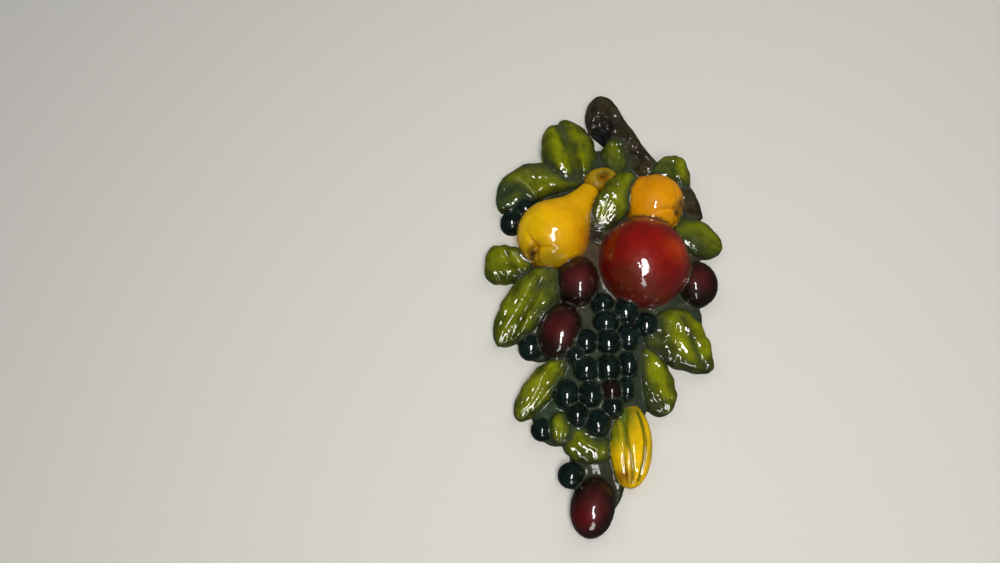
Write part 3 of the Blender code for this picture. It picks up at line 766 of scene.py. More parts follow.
# Short ridges that cross a line like rungs, and break up the light on it: the form, how far they stand proud, their
# half width, half length, number and slope in degrees, and the line.
rungs = (
    ("leafRightBig", 0.5, 0.9, 2.2, 7, 25, ((33.2, 113), (31.6, 105.5), (31.2, 97))),
    ("leafRightFoot", 0.35, 0.8, 1.2, 5, 20, ((16.6, 86.5), (18.4, 82), (21.5, 76.5))),
    ("leafTop", 0.3, 0.7, 1.8, 6, -25, ((-24.5, 222), (-24.5, 214), (-20, 209))),
    ("leafByBranch", 0.45, 0.75, 1.4, 4, 25, ((11, 229), (13.2, 226), (13.6, 220.5))),
    ("leafLeft", 0.3, 0.7, 1.5, 7, -30, ((-39, 141), (-43, 134), (-48, 126))),
    ("leafOverPears", 0.12, 0.8, 2.5, 4, 50, ((-4, 175), (2, 179), (9, 182))),
    ("branch", 0.7, 0.8, 1.5, 11, -28, ((3, 245.5), (8.5, 240.5), (13, 236), (17.7, 231.2), (22.8, 226.4))),
    ("branch", 0.6, 0.8, 1.4, 6, 25, ((-5, 239), (-3, 243), (0, 246.5))),
    ("branch", 0.6, 0.8, 1.6, 5, -28, ((20, 221.8), (25.4, 219), (30, 215.5))),
)
# The torn wood round the branch's knot: how rough it is, in mm, the size of its bumps, and how far it reaches.
tornWood = {
    "rough": 0.9,
    "bumps": 1.8,
    "reach": 3.4,
    "least": 0.02,
    "line": ((-5.5, 239), (-3, 243.5), (0.5, 246.5), (3, 245), (8.5, 240.5), (13, 236), (17.7, 231.5), (23, 227)),
}
# Dimples pressed into single forms: the form, across, up, radius, depth, and how far round them the lacquer is dull.
dimples = (
    ("pearLeft", -41.3, 155, 2.8, 3.2, 3),
    ("pearRight", 41.5, 179, 2.4, 3, 3),
    ("stemEnd", -0.6, 200.8, 3, 6, 9),
    ("branch", 2, 236.5, 5, 5, 4.5),
    ("branch", 20, 217, 4, 2.5, 2),
)
# Ridges along the branch: its knot's rim and the torn wood below it.
barkRidges = (
    (0.8, 1.2, ((-5, 238), (-3, 243), (0, 248.5), (3, 246), (8.5, 241), (13, 236.5), (17.7, 231.7), (23, 227))),
    (0.7, 1, ((19, 223), (25.4, 219.3), (30, 216))), (1, 1, ((14, 212), (21, 212.5), (27, 211.6))),
    (-1.5, 1.5, ((-1, 247), (3, 247))), (-1.5, 1.6, ((0.5, 242.5), (5, 242))),
    (-1.5, 1.6, ((6, 238.5), (10, 237.5))), (-1.5, 1.6, ((10.5, 234.5), (14.5, 233))),
    (-1.4, 1.5, ((15, 230), (19, 228.5))), (-1.2, 1.5, ((20, 225.5), (24, 224))),
    (-1.4, 1.5, ((18, 220.5), (22, 219.5))), (-1.4, 1.5, ((24, 217.5), (28.5, 216))),
    (-1.2, 1.6, ((5, 252), (10, 246), (16, 238), (22, 231), (28, 222))),
)
# The creases round each pear's calyx: the form, its middle, their length, and which ways they run, in degrees.
calyxes = (
    ("pearLeft", (-41.3, 155), 12, (-5, 112, 182, 240, 298)),
    ("pearRight", (41.5, 179), 13, (190, 95, 262)),
)
calyxCrease = {"halfWidth": 0.9, "depth": 1.5, "lasts": 1.2}  # it lasts a little past its length
# Unevenness of the modelling, in mm of rise, and the size of the bumps, in mm.
lumps = {
    "web": (0.3, 6),
    "leaf": (0.35, 4.5),
    "pear": (0.22, 5.5),
    "apple": (0.32, 8),
    "plum": (0.15, 4.5),
    "grape": (0.1, 3),
    "bark": (1.1, 3.6),
    "pod": (0.12, 4),
}
barkGrain = (6.0, 5.0, 0.04)  # how fine the bark's lumps are along it, round it and upwards
lumpFractal = (1.0, 2.0, 3)  # roughness, gap and number of the layers of lumps
edgeCalm = 1.4  # mm from a form's edge over which what is worked into it dies away
wallCalm = 2.0  # mm from the wall over which it does


# How far each point is from the edge of its form, in mm.
def readBorder(mesh, points, forms):
    edges = readArray(mesh.edges, "vertices", np.int32, 2)
    between = edges[forms[edges[:, 0]] != forms[edges[:, 1]]]
    seams = (points[between[:, 0]] + points[between[:, 1]]) / 2
    tree = KDTree(len(seams))
    for i, point in enumerate(seams.tolist()):
        tree.insert(point, i)
    tree.balance()
    return np.array([tree.find(point)[2] for point in points.tolist()]) / mm


# Evens a value out over neighbouring points.
def calmDown(mesh, values, rounds=4):
    edges = readArray(mesh.edges, "vertices", np.int32, 2)
    ends = np.concatenate((edges, edges[:, ::-1]))
    count = np.bincount(ends[:, 0], minlength=len(values)) + 1
    for _ in range(rounds):
        values = (values + np.bincount(ends[:, 0], values[ends[:, 1]], len(values))) / count
    return values


def frontPlace(points):
    return points[:, 0] / mm + casting["mountAcross"], points[:, 2] / mm + casting["mountUp"]


# The rise of the folds on each point, in mm. The paint reads it too: painted light on a crest, painted shade in a
# fold.
def foldRise(forms, across, up):
    out = np.zeros(len(forms))
    crossing = [(name, rungRidges(*rung)) for name, *rung in rungs]
    for name, lines in (*folds.items(), ("branch", barkRidges), *crossing):
        on = np.nonzero(onForms(forms, name))[0]
        for height, halfWidth, line in lines:
            out[on] += height * fade(distanceTo(line, across[on], up[on]), halfWidth)
    return out


def rungRidges(height, halfWidth, halfLength, count, slope, line):
    reach = Vector((math.cos(math.radians(slope)), math.sin(math.radians(slope)))) * halfLength
    middles = [readCurve(line, step / (count - 1) * (len(line) - 1)) for step in range(count)]
    return [(height, halfWidth, (middle - reach, middle + reach)) for middle in middles]


def carve(obj):
    mesh = obj.data
    points, normals = readArray(mesh.vertices, "co"), readArray(mesh.vertex_normals, "vector")
    forms, spots = readForms(points)
    paintOf = np.array([form["paint"] for form in formBook])[forms]
    across, up = frontPlace(points)
    rise = -points[:, 1] / mm
    out = foldRise(forms, across, up)
    for name, x, y, radius, depth, _ in dimples:
        out -= onForms(forms, name) * depth * fade(np.hypot(across - x, up - y), radius)
    for name, (x, y), length, ways in calyxes:
        on = onForms(forms, name)
        left = np.clip(calyxCrease["lasts"] - np.hypot(across - x, up - y) / length, 0, 1)  # what is left of it
        for way in ways:
            end = (x + length * math.cos(math.radians(way)), y + length * math.sin(math.radians(way)))
            gap = distanceTo(((x, y), end), across, up)
            out -= on * calyxCrease["depth"] * left * fade(gap, calyxCrease["halfWidth"])
    for number, paint in enumerate(paints):
        amount, size = lumps[paint]
        for i in np.nonzero(paintOf == number)[0]:
            if paint == "bark":  # ridged lengthwise
                spot = Vector((spots[i, 0], spots[i, 1], up[i])) * Vector(barkGrain)
            else:
                spot = Vector((across[i], up[i], rise[i])) / size
            out[i] += amount * noise.fractal(spot, *lumpFractal)
    torn = fade(distanceTo(tornWood["line"], across, up), tornWood["reach"])
    torn *= onForms(forms, "branch") * tornWood["rough"]
    for i in np.nonzero(torn > tornWood["least"])[0]:
        out[i] += torn[i] * noise.noise(Vector((across[i], up[i], rise[i])) / tornWood["bumps"])
    out *= np.clip(readBorder(mesh, points, forms) / edgeCalm, 0, 1)
    calm = np.clip(rise / wallCalm, 0, 1)  # the edge along the wall stays true
    points += normals * (out * calm * mm)[:, None]
    mesh.vertices.foreach_set("co", points.ravel())
    mesh.update()
    print("carved")


# Brings the skin under its triangle limit, coarser only where it is smooth.
def thinOut(obj):
    obj.data.calc_loop_triangles()
    count = len(obj.data.loop_triangles)
    if count > casting["triangles"]:
        thin = obj.modifiers.new("thin", "DECIMATE")
        thin.ratio = casting["triangles"] / count
        applyModifiers(obj)
    print("triangles", count, "to", len(obj.data.polygons))


# The shade and the hole of the round stem end, which the forms that meet there share.
stemShade = (0, 203, 6, 0.95, (0.24, 0.16, 0.01))
stemHole = (0.7, 201, 4.3, 1, (0.012, 0.006, 0.001))
# Patches on each form: airbrushed, and where noted painted shade and a painted reflection. Each is across, up,
# radius, how much, and the colour.
spraysAndPaintedLight = {
    "pearLeft": (
        (-8, 162, 10, 0.85, (0.6, 0.17, 0.002)), (-2, 188, 5, 0.6, (0.45, 0.2, 0.002)),
        # The darker patch at the top of the neck, at (-10, 191), is painted shade.
        (-20, 178, 11, 0.35, (0.8, 0.34, 0)), (-10, 191, 9, 0.6, (0.58, 0.29, 0)),
        (-45, 169, 10, 0.6, (0.85, 0.58, 0)), (-32, 146, 9, 0.7, (0.2, 0.19, 0.005)),
        (-46, 151, 6, 0.6, (0.3, 0.24, 0.01)), (-41.3, 155, 3, 1, (0.045, 0.012, 0.01)), stemShade, stemHole,
    ),
    "pearRight": (
        (26, 196, 14, 0.6, (0.62, 0.23, 0)), (36, 176, 7, 0.5, (0.8, 0.35, 0)),
        (46, 184, 4, 0.6, (0.35, 0.22, 0.01)), (41.5, 179, 2.4, 1, (0.05, 0.02, 0.005)),
        (43.5, 183, 3, 0.85, (0.035, 0.03, 0.02)), stemShade, stemHole,
    ),
    "stemEnd": (
        (0.5, 202, 20, 0.8, (0.3, 0.22, 0.01)), stemHole,
    ),
    "apple": (
        # The greyish pink-brown patches round the apple's top and right, from (10, 175) to (39, 130), are its thin
        # rim paint and partly a painted reflection.
        (37, 152, 7, 0.65, (0.6, 0.06, 0.003)), (10, 175, 7, 0.6, (0.17, 0.045, 0.035)),
        (23, 178, 8, 0.8, (0.19, 0.055, 0.045)), (36, 173, 8, 0.8, (0.19, 0.055, 0.045)),
        (45, 163, 7, 0.8, (0.17, 0.05, 0.04)), (48, 151, 5.5, 0.8, (0.17, 0.05, 0.04)),
        (46, 139, 6, 0.7, (0.15, 0.04, 0.035)), (39, 130, 6, 0.6, (0.12, 0.03, 0.03)),
        (8, 135, 9, 0.5, (0.1, 0.03, 0.006)), (22, 128, 8, 0.5, (0.13, 0.035, 0.025)),
    ),
    "pod": (
        (20, 45, 6, 0.6, (0.4, 0.32, 0.01)), (3, 66, 11.5, 0.97, (0.035, 0.12, 0.012)),
        (-0.5, 53, 6.5, 0.8, (0.16, 0.25, 0.01)), (3.5, 33, 4, 0.8, (0.15, 0.02, 0.004)),
    ),
    "branch": (
        (3, 237, 7.5, 0.85, (0.01, 0.013, 0.019)), (19, 220, 6, 0.7, (0.03, 0.015, 0.004)),
    ),
    "leafRightBig": (
        # The dark patches on its left side, at (26, 112) and (31.5, 97), are painted shade.
        (26, 112, 9, 0.8, (0.04, 0.055, 0.022)), (31.5, 97, 6, 0.8, (0.04, 0.055, 0.018)),
        (43, 90, 5, 0.8, (0.04, 0.052, 0.016)), (54, 92, 5, 0.85, (0.035, 0.046, 0.014)),
    ),
    "leafRightFoot": ((24, 69, 6.5, 0.85, (0.038, 0.05, 0.018)),),
    "leafLeftFoot": ((-40, 80, 6, 0.6, (0.28, 0.28, 0.01)),),
    "leafTop": (
        (-17, 226, 4, 0.55, (0.06, 0.075, 0.03)), (-23, 241, 4, 0.55, (0.07, 0.08, 0.04)),
    ),
    "leafTopLeft": (
        (-59, 195, 9, 0.85, (0.022, 0.04, 0.022)), (-40, 214, 8, 0.7, (0.045, 0.06, 0.03)),
        (-26, 212, 8, 0.7, (0.045, 0.06, 0.03)), (-36, 200, 7, 0.5, (0.2, 0.22, 0.004)),
    ),
    "leafLeft": (
        (-33, 137, 7.5, 0.8, (0.05, 0.065, 0.025)), (-38, 121, 5, 0.7, (0.045, 0.065, 0.015)),
        (-52, 126, 6.5, 0.5, (0.22, 0.25, 0.006)),
    ),
    "leafFoot": (
        (-6, 53, 7, 0.8, (0.04, 0.06, 0.02)), (-16, 41, 5, 0.7, (0.05, 0.06, 0.015)),
    ),
    "leafByBranch": ((6, 212, 7, 0.7, (0.06, 0.07, 0.03)),),
    "leafTopRight": ((36, 212, 7, 0.6, (0.045, 0.06, 0.03)),),
    "leafRight": ((50, 163, 7, 0.8, (0.05, 0.06, 0.028)),),
    "plumFoot": ((-18, 13, 5.5, 0.6, (0.2, 0.003, 0.008)),),
    "plumByPear": ((-20, 138, 6, 0.5, (0.11, 0.01, 0.016)),),
    "plumLeft": ((-31, 110, 6, 0.5, (0.1, 0.008, 0.01)),),
}
# Strokes on each form: airbrushed, and on leafRightBig's left side and along its valley painted shade. Each is the
# stroke's line, its half width, how much, and the colour.
leafDark, leafBright = (0.034, 0.048, 0.014), (0.25, 0.265, 0.002)
strokesAndPaintedShade = {
    "leafRightBig": (
        # The dark strokes on its left side and along its valley are painted shade.
        (((25, 116), (29, 108), (31.5, 100), (33, 93)), 4.2, 0.85, leafDark),
        (((37.5, 112), (38.5, 106), (41, 100), (43.5, 96)), 2.4, 0.75, leafBright),
        (((46.5, 118), (52, 110), (54, 103), (54, 99)), 3, 0.65, leafBright),
        (((41, 118), (44, 110), (46.7, 101), (49.5, 93), (53, 90)), 1.7, 0.85, leafDark),
    ),
    "leafRightFoot": (
        (((17, 94), (17.8, 85), (21, 75), (24, 66)), 2.8, 0.85, leafDark),
        (((22.5, 91), (26, 82), (29, 75)), 2.4, 0.6, leafBright),
    ),
    "leafTopLeft": (
        (((-58, 197), (-50, 200), (-45, 196), (-42, 191)), 3.4, 0.8, (0.028, 0.045, 0.02)),
        (((-50, 205.5), (-44.5, 201), (-41, 196), (-38, 192)), 0.7, 0.6, (0.25, 0.3, 0.08)),
    ),
    "leafTop": (
        (((-24, 246), (-21, 237), (-18.8, 230)), 1.8, 0.6, (0.07, 0.085, 0.04)),
        (((-18.2, 227), (-16.5, 220), (-15.6, 214)), 2.2, 0.6, (0.13, 0.15, 0.006)),
    ),
    "leafOverPears": ((((-7, 178), (-6, 172), (0, 171), (6, 175)), 2.6, 0.8, (0.035, 0.03, 0.012)),),
}
# Tints of the ground between the forms: across, up, radius, how much, and the colour.
groundPlain = (0.042, 0.054, 0.034)
groundTints = (
    (-4, 165, 20, 0.9, (0.1, 0.052, 0.034)),
    (40, 150, 16, 0.7, (0.12, 0.055, 0.045)),
    (-24, 128, 16, 0.7, (0.075, 0.055, 0.04)),
    (-4, 168, 7, 0.95, (0.022, 0.013, 0.008)),
    (36, 122, 10, 0.8, (0.05, 0.075, 0.04)),
    (-34, 70, 14, 0.8, (0.03, 0.06, 0.028)),
    (-8, 38, 9, 0.95, (0.024, 0.024, 0.008)),
    (1, 27, 7, 0.9, (0.03, 0.024, 0.013)),
    (20, 222, 10, 0.8, (0.045, 0.035, 0.02)),
)


def spray(colours, away, on, radius, amount, colour):
    share = on * amount * fade(away, radius)
    colours[:, :3] = colours[:, :3] * (1 - share)[:, None] + np.array(colour) * share[:, None]
    colours[:, 3] = colours[:, 3] * (1 - share) + share


# Writes what the paints read: the spot on its form, the mm to the form's edge, the folds' rise, the tone, and the
# sprays, some of them painted shade and a painted reflection.
def paintMasks(obj):
    mesh = obj.data
    points = readArray(mesh.vertices, "co")
    forms, spots = readForms(points)
    across, up = frontPlace(points)
    border = calmDown(mesh, readBorder(mesh, points, forms))
    crest = foldRise(forms, across, up)
    sprayedAndPaintedLight = np.zeros((len(points), 4))
    for name, patches in spraysAndPaintedLight.items():
        for x, y, *patch in patches:
            spray(sprayedAndPaintedLight, np.hypot(across - x, up - y), onForms(forms, name), *patch)
    for name, lines in strokesAndPaintedShade.items():
        for line, *patch in lines:
            spray(sprayedAndPaintedLight, distanceTo(line, across, up), onForms(forms, name), *patch)
    sprayedAndPaintedLight[:, :3] /= np.maximum(sprayedAndPaintedLight[:, 3:], 1e-4)
    ground = np.ones((len(points), 4))
    ground[:, :3] = groundPlain
    for x, y, *patch in groundTints:
        spray(ground, np.hypot(across - x, up - y), 1.0, *patch)
    pit = np.max([fade(np.hypot(across - x, up - y), dull) for _, x, y, _, _, dull in dimples], axis=0)
    tones = np.array([form["tone"] for form in formBook])[forms]
    masks = {"spot": spots, "border": border, "crest": crest, "tone": tones, "pit": pit}
    masks.update(spray=sprayedAndPaintedLight, ground=ground)
    kinds = {1: ("FLOAT", "value"), 3: ("FLOAT_VECTOR", "vector"), 4: ("FLOAT_COLOR", "color")}
    for name, values in masks.items():
        values = np.asarray(values, np.float32)
        kind, field = kinds[values.size // len(points)]
        mesh.attributes.new(name, kind, "POINT").data.foreach_set(field, values.ravel())
    return forms, points


slack = 0.1  # mm within which a face counts as on the back or in the pocket
facesBack = 0.9  # and how squarely a face on the back looks that way


# Gives each face the paint of its form, and bare plaster to the back and the pocket.
def paintFaces(obj, materials, forms, points):
    mesh = obj.data
    corners = readArray(mesh.polygons, "vertices", np.int32)
    chosen = np.array([form["paint"] for form in formBook])[forms[corners[:, 0]]]
    middle, normal = points[corners].mean(1) / mm, readArray(mesh.polygons, "normal")
    back = (middle[:, 1] > -slack / 2) & (normal[:, 1] > facesBack)
    half, top = pocket["width"] / 2, -pocket["below"]
    inPocket = (np.abs(middle[:, 0]) < half + slack) & (middle[:, 1] > -pocket["depth"] - slack)
    inPocket &= (middle[:, 2] < top + slack) & (middle[:, 2] > top - pocket["height"] - slack)
    chosen = np.where(back | inPocket, len(paints), chosen)
    mesh.materials.clear()
    for name in (*paints, "plaster"):
        mesh.materials.append(materials[name])
    mesh.polygons.foreach_set("material_index", chosen.astype(np.int32))
    mesh.shade_smooth()
    mesh.set_sharp_from_angle(angle=math.radians(casting["sharpAngle"]))
    mesh.update()
    print("painted", np.bincount(chosen, minlength=len(paints) + 1).tolist())


# The lacquered paints. ripple and grain are bump heights in mm, at bumps of the given size in mm.
lacquer = {
    "specular": {"apple": 0.07, "pear": 0.05, "plum": 0.05, "others": 0.02},  # the soft shine under the lacquer
    "coat": {"web": (0.35, 0.12), "others": (1.0, 0.05)},  # how much lacquer, and its roughness
    "coatIor": 1.38,
    "dull": (0.3, 0.8, 1.0, 0.1),  # from a dimple's outskirts into it, and the shares of the lacquer there
    "ripple": (0.08, 2.6),
    "grain": (0.014, 0.7),
    # Fine streaks along a form: how many along it and across it, and their height in mm.
    "streaks": {"leaf": (2.5, 9.0, 0.12), "bark": (8.0, 14.0, 0.2)},
    "seam": (0.1, 1.3),  # mm from a form's edge over which the seam's line ends
    "seamShare": 0.9,
    "seamColours": {"pear": (0.16, 0.075, 0.008), "apple": (0.11, 0.03, 0.022), "pod": (0.1, 0.1, 0.01)},
    "seamGloss": 0.25,
}
# Each paint: its two colours, the colour it darkens or pales to at the form's edge, how far in that reaches in
# mm, and how uneven it is. The leaves' and pears' darker edge is airbrushed and partly painted shade where they
# meet other forms; the apple's pinkish-brown edge is its thin rim paint and partly a painted reflection.
paintBook = {
    "web": {"low": (0.04, 0.05, 0.036), "high": (0.06, 0.07, 0.045), "uneven": 0.3},
    "leaf": {
        "low": (0.05, 0.068, 0.006), "high": (0.212, 0.238, 0.002), "edge": (0.034, 0.046, 0.016), "reach": 4.6,
        "uneven": 0.25,
    },
    "pear": {
        "low": (0.86, 0.33, 0.0), "high": (0.9, 0.51, 0.0), "edge": (0.4, 0.19, 0.0), "reach": 2.4,
        "uneven": 0.08,
    },
    "apple": {
        "low": (0.18, 0.004, 0.002), "high": (0.27, 0.006, 0.003), "edge": (0.14, 0.042, 0.032), "reach": 3.8,
        "uneven": 0.15,
    },
    "plum": {
        "low": (0.015, 0.006, 0.004), "high": (0.07, 0.01, 0.009), "edge": (0.011, 0.006, 0.004), "reach": 2.8,
        "uneven": 0.3,
    },
    "grape": {
        "low": (0.003, 0.008, 0.006), "high": (0.006, 0.017, 0.015), "edge": (0.005, 0.009, 0.006), "reach": 1.5,
        "uneven": 0.3,
    },
    "bark": {
        "low": (0.024, 0.017, 0.007), "high": (0.055, 0.044, 0.022), "edge": (0.068, 0.06, 0.04), "reach": 3.0,
        "uneven": 0.3,
    },
    "pod": {"low": (0.1, 0.1, 0.004), "high": (0.97, 0.58, 0.0), "uneven": 0.12},
}
brownGrape = (0.013, 0.006, 0.004)
webGround = 0.8  # how much of the ground's tints the webs take
# How the high colour comes in: from and to a value, and the shares of the colour there where they aren't 0 and 1.
shading = {
    "leafMiddle": (1.0, 0.2, 0.05, 0.65),  # from a leaf's rim to its midrib
    # painted shade on the floor of a fold, painted light on a crest
    "leafCrestLightAndShade": (-1.2, 0.9, -0.45, 0.45),  # from the floor of a fold to a crest, in mm
    "leafTone": (0.0, 1.0, 0.35, 1.4),
    "leafTip": (0.98, 0.72, 0.35, 1.0),
    "pearTone": (0.85, 0.3),
    "brownTone": (0.7, 1.0),
    "roundMiddle": (0.9, 0.1),
    "podGrooveAndShade": (-0.7, 0.1, 0.25, 1.0),
    "podRib": (-0.3, 0.55),
    "others": (0.35, 0.65),
    "noise": (0.3, 0.7),  # what stands for a noise's least and most
}
# Where a paint wanders: the size of its patches in mm, their detail, and the least and most.
wandering = {
    "leafShare": (6.0, 2.0, -0.15, 0.15),
    "speckle": (0.5, 1.0, 0.93, 1.07),
    "edge": (2.5, 2.0, -0.3, 0.3),
    "blotch": (6.0, 3.0),
    "gloss": (4.0, 3.0, 0.37, 0.55),
    "plasterGloss": (2.0, 3.0, 0.75, 0.95),
    "plainShare": (5.0, 3.0),
    "plasterShare": (9.0, 5.0),
    "plasterPits": (0.8, 5.0),
}


def mixColour(tree, share, *colours):
    first, second = ((*colour, 1.0) if isinstance(colour, tuple) else colour for colour in colours)
    return addNode(tree, "ShaderNodeMix", {0: share, 6: first, 7: second}, data_type="RGBA").outputs[2]


def mapRange(tree, value, low, high, toLow=0.0, toHigh=1.0):
    inputs = {"Value": value, "From Min": low, "From Max": high, "To Min": toLow, "To Max": toHigh}
    return addNode(tree, "ShaderNodeMapRange", inputs, interpolation_type="SMOOTHSTEP").outputs[0]


def readAttribute(tree, name):
    return addNode(tree, "ShaderNodeAttribute", attribute_name=name).outputs


def readValue(tree, name):
    return readAttribute(tree, name)["Fac"]


def noiseAt(tree, size, detail=2.0):
    where = tree.nodes.new("ShaderNodeTexCoord").outputs["Object"]
    inputs = {"Vector": where, "Scale": 1.0 / (size * mm), "Detail": detail}
    return addNode(tree, "ShaderNodeTexNoise", inputs).outputs["Fac"]


# A value that wanders between low and high.
def wander(tree, size, detail, low, high):
    return mapRange(tree, noiseAt(tree, size, detail), *shading["noise"], low, high)


# How strongly a paint shows its high colour, for each kind of form.
def highShare(tree, paint):
    spot = readAttribute(tree, "spot")["Vector"]
    parts = addNode(tree, "ShaderNodeSeparateXYZ", {"Vector": spot}).outputs
    if paint == "leaf":  # bright on the crests and in the middle, dark in the folds
        lit = mapRange(tree, doMath(tree, "ABSOLUTE", parts["Y"]), *shading["leafMiddle"])
        # Lighter on the crests and darker in the folds: painted light and painted shade.
        crest = mapRange(tree, readValue(tree, "crest"), *shading["leafCrestLightAndShade"])
        lit = doMath(tree, "ADD", doMath(tree, "ADD", lit, crest), wander(tree, *wandering["leafShare"]))
        tone = mapRange(tree, readValue(tree, "tone"), *shading["leafTone"])
        tone = doMath(tree, "MULTIPLY", tone, mapRange(tree, parts["X"], *shading["leafTip"]))
        return doMath(tree, "MULTIPLY", lit, tone, use_clamp=True)
    if paint == "pear":
        return mapRange(tree, readValue(tree, "tone"), *shading["pearTone"])
    if paint in ("apple", "plum"):  # brighter in the middle
        flat = doVector(tree, "MULTIPLY", spot, (1.0, 1.0, 0.0))
        return mapRange(tree, doVector(tree, "LENGTH", flat), *shading["roundMiddle"])
    if paint == "pod":  # a dark line in each valley
        # The dark line in each valley is paint and partly painted shade; the ribs' lighter tops are paint and partly
        # painted light.
        crest = mapRange(tree, readValue(tree, "crest"), *shading["podGrooveAndShade"])
        return doMath(tree, "MULTIPLY", crest, mapRange(tree, parts["X"], *shading["podRib"]))
    return mapRange(tree, noiseAt(tree, *wandering["plainShare"]), *shading["others"])


def newMaterial(name):
    material = bpy.data.materials.new(name)
    material.use_nodes = True
    return material, material.node_tree, material.node_tree.nodes["Principled BSDF"].inputs


# A bump in the surface, from a field of heights from 0 to 1 that stand for height mm.
def bumpUp(tree, field, height, below=None):
    inputs = {"Height": field, "Strength": 1.0, "Distance": height * mm}
    return addNode(tree, "ShaderNodeBump", {**inputs, **({"Normal": below} if below else {})}).outputs[0]


def makePaint(paint):
    material, tree, shader = newMaterial(paint + "Paint")
    colours = paintBook[paint]
    ground = readAttribute(tree, "ground")["Color"]
    own = mixColour(tree, highShare(tree, paint), colours["low"], colours["high"])
    if paint == "web":
        own = mixColour(tree, webGround, own, ground)
    if paint == "grape":
        brown = mapRange(tree, readValue(tree, "tone"), *shading["brownTone"])
        own = mixColour(tree, brown, own, brownGrape)
    sprayedAndPaintedLight = readAttribute(tree, "spray")
    own = mixColour(tree, sprayedAndPaintedLight["Alpha"], own, sprayedAndPaintedLight["Color"])
    blotch = wander(tree, *wandering["blotch"], 1.0 - colours["uneven"], 1.0 + colours["uneven"] / 2)
    speckle = wander(tree, *wandering["speckle"])
    own = doVector(tree, "SCALE", own, Scale=doMath(tree, "MULTIPLY", blotch, speckle))
    nearEdge = doMath(tree, "ADD", readValue(tree, "border"), wander(tree, *wandering["edge"]))
    # On leaves and pears this darkening towards the edge is partly painted shade in the creases between forms; on the
    # apple it is partly a painted reflection.
    if "edge" in colours:
        own = mixColour(tree, mapRange(tree, nearEdge, 0.0, colours["reach"]), colours["edge"], own)
    full = mapRange(tree, nearEdge, *lacquer["seam"], 1.0 - lacquer["seamShare"], 1.0)
    connect(tree, mixColour(tree, full, lacquer["seamColours"].get(paint, ground), own), shader["Base Color"])
    connect(tree, wander(tree, *wandering["gloss"]), shader["Roughness"])
    weight, roughness = lacquer["coat"].get(paint, lacquer["coat"]["others"])
    gloss = mapRange(tree, nearEdge, *lacquer["seam"], lacquer["seamGloss"], weight)
    dull = mapRange(tree, readValue(tree, "pit"), *lacquer["dull"])
    connect(tree, doMath(tree, "MULTIPLY", gloss, dull), shader["Coat Weight"])
    shader["Specular IOR Level"].default_value = lacquer["specular"].get(paint, lacquer["specular"]["others"])
    shader["Coat IOR"].default_value = lacquer["coatIor"]
    shader["Coat Roughness"].default_value = roughness
    surface = None
    for height, size in (lacquer["ripple"], lacquer["grain"]):
        surface = bumpUp(tree, noiseAt(tree, size), height, surface)
    if paint in lacquer["streaks"]:
        along, across, height = lacquer["streaks"][paint]
        drawn = doVector(tree, "MULTIPLY", readAttribute(tree, "spot")["Vector"], (along, across, 1.0))
        inputs = {"Vector": drawn, "Scale": 1.0, "Detail": 2.0}
        streak = addNode(tree, "ShaderNodeTexNoise", inputs).outputs["Fac"]
        surface = bumpUp(tree, streak, height, surface)
    for name in ("Normal", "Coat Normal"):
        connect(tree, surface, shader[name])
    return material


plaster = {"low": (0.62, 0.58, 0.5), "high": (0.74, 0.71, 0.64), "pits": 0.25}


def makePlaster():
    material, tree, shader = newMaterial("barePlaster")
    share = mapRange(tree, noiseAt(tree, *wandering["plasterShare"]), *shading["others"])
    connect(tree, mixColour(tree, share, plaster["low"], plaster["high"]), shader["Base Color"])
    connect(tree, wander(tree, *wandering["plasterGloss"]), shader["Roughness"])
    connect(tree, bumpUp(tree, noiseAt(tree, *wandering["plasterPits"]), plaster["pits"]), shader["Normal"])
    return material


# The pale wall behind the plaque. From behind it can be looked through, so that the back view shows the back.
wall = {"near": 0.9, "far": 6.0, "gap": 0.3, "colour": (0.735, 0.725, 0.685), "roughness": 0.9}


def addWall():
    material, tree, shader = newMaterial("paleWall")
    shader["Base Color"].default_value = (*wall["colour"], 1.0)
    shader["Roughness"].default_value = wall["roughness"]
    behind = tree.nodes.new("ShaderNodeNewGeometry").outputs["Backfacing"]
    clear = tree.nodes.new("ShaderNodeBsdfTransparent").outputs[0]
    painted = tree.nodes["Principled BSDF"].outputs[0]
    mix = addNode(tree, "ShaderNodeMixShader", {0: behind, 1: painted, 2: clear})
    connect(tree, mix.outputs[0], tree.nodes["Material Output"].inputs["Surface"])
    back = wall["gap"] * mm
    n, f = wall["near"] / 2, wall["far"] / 2
    corners = [(x * size, back, z * size) for size in (n, f) for x, z in ((-1, -1), (1, -1), (1, 1), (-1, 1))]
    farFaces = [(i, (i + 1) % 4, (i + 1) % 4 + 4, i + 4) for i in range(4)]
    for name, faces in (("wallNear", [(0, 1, 2, 3)]), ("wallFar", [face[::-1] for face in farFaces])):
        mesh = bpy.data.meshes.new(name)
        mesh.from_pydata(corners, [], faces)
        mesh.materials.append(material)
        obj = newObject(name, mesh)
        obj.visible_glossy = False  # the wall isn't mirrored in the lacquer
        obj.visible_shadow = False  # the light behind it reaches the plaque's back


# The camera: where it stands, in the plaque's millimetres, and how far it looks up.
camera = {"across": -60, "out": 394, "up": 0, "lookUp": 20, "lens": 26, "sensor": 36, "clip": (10, 50000)}


def addCamera():
    data = bpy.data.cameras.new("camera")
    data.lens, data.sensor_width = camera["lens"], camera["sensor"]
    data.clip_start, data.clip_end = (away * mm for away in camera["clip"])
    obj = newObject("camera", data)
    obj.location = place(camera["across"], camera["up"], camera["out"])
    obj.rotation_euler = (math.radians(90.0 + camera["lookUp"]), 0.0, 0.0)
    bpy.context.scene.camera = obj


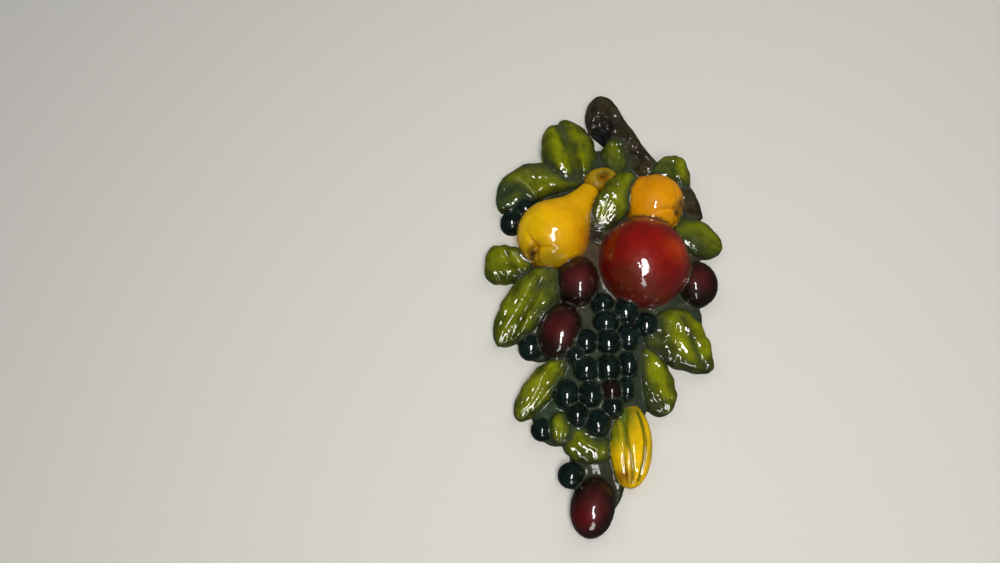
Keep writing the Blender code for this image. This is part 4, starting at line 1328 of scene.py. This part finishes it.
# Each lamp: where it stands in mm (across, up, out), its size in mm, its power, and whether it gives light or glints.
lights = {
    "stripUpper": {"at": (-20, -110, 640), "size": (125, 480), "power": 10, "for": "glints"},
    "stripLower": {"at": (-10, -480, 270), "size": (110, 300), "power": 1.4, "for": "glints"},
    "front": {"at": (30, -90, 720), "size": (320, 560), "power": 3.9, "for": "light"},
    "roomRight": {"at": (500, 850, 800), "size": (900, 900), "power": 3.4, "for": "light"},
    "roomLeft": {"at": (-1500, 1100, 2000), "size": (1600, 1600), "power": 10, "for": "light"},
    "behind": {"at": (-500, 500, -900), "size": (900, 900), "power": 8, "for": "light"},
}
lampColour = (1.0, 0.985, 0.95)
lampAim = (0, 130, 10)
room = {"colour": (0.9, 0.92, 0.95), "strength": 0.06, "backdrop": (0.6, 0.59, 0.56)}


def addLights():
    aim = place(*lampAim)
    for name, lamp in lights.items():
        data = bpy.data.lights.new(name, "AREA")
        data.shape = "RECTANGLE"
        data.size, data.size_y = lamp["size"][0] * mm, lamp["size"][1] * mm
        data.energy, data.color = lamp["power"], lampColour
        obj = newObject(name, data)
        obj.location = place(*lamp["at"])
        obj.rotation_euler = (aim - obj.location).to_track_quat("-Z", "Y").to_euler()
        obj.visible_diffuse, obj.visible_glossy = lamp["for"] == "light", lamp["for"] == "glints"
    world = bpy.data.worlds.new("room")
    world.use_nodes = True
    tree = world.node_tree
    background = tree.nodes["Background"]
    background.inputs["Color"].default_value = (*room["colour"], 1.0)
    background.inputs["Strength"].default_value = room["strength"]
    backdrop = addNode(tree, "ShaderNodeBackground", {"Color": (*room["backdrop"], 1.0)})  # seen, but gives no light
    seen = tree.nodes.new("ShaderNodeLightPath").outputs["Is Camera Ray"]
    mix = addNode(tree, "ShaderNodeMixShader", {0: seen, 1: background.outputs[0], 2: backdrop.outputs[0]})
    connect(tree, mix.outputs[0], tree.nodes["World Output"].inputs["Surface"])
    bpy.context.scene.world = world
    bpy.context.scene.view_settings.view_transform = "Standard"


addCamera()
addLights()
addWall()
materials = {paint: makePaint(paint) for paint in paints}
materials["plaster"] = makePlaster()
print("paints mixed")
addMounds()
addLeaves()
addBranch()
addFruits()
addPears()
addPod()
addGrapes(materials["grape"])
print("forms modelled", len(formBook))
plaque = meltForms()
carve(plaque)
thinOut(plaque)
skinForms, skinPoints = paintMasks(plaque)
paintFaces(plaque, materials, skinForms, skinPoints)
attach(plaque, "root")
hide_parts("fruit_plaque")
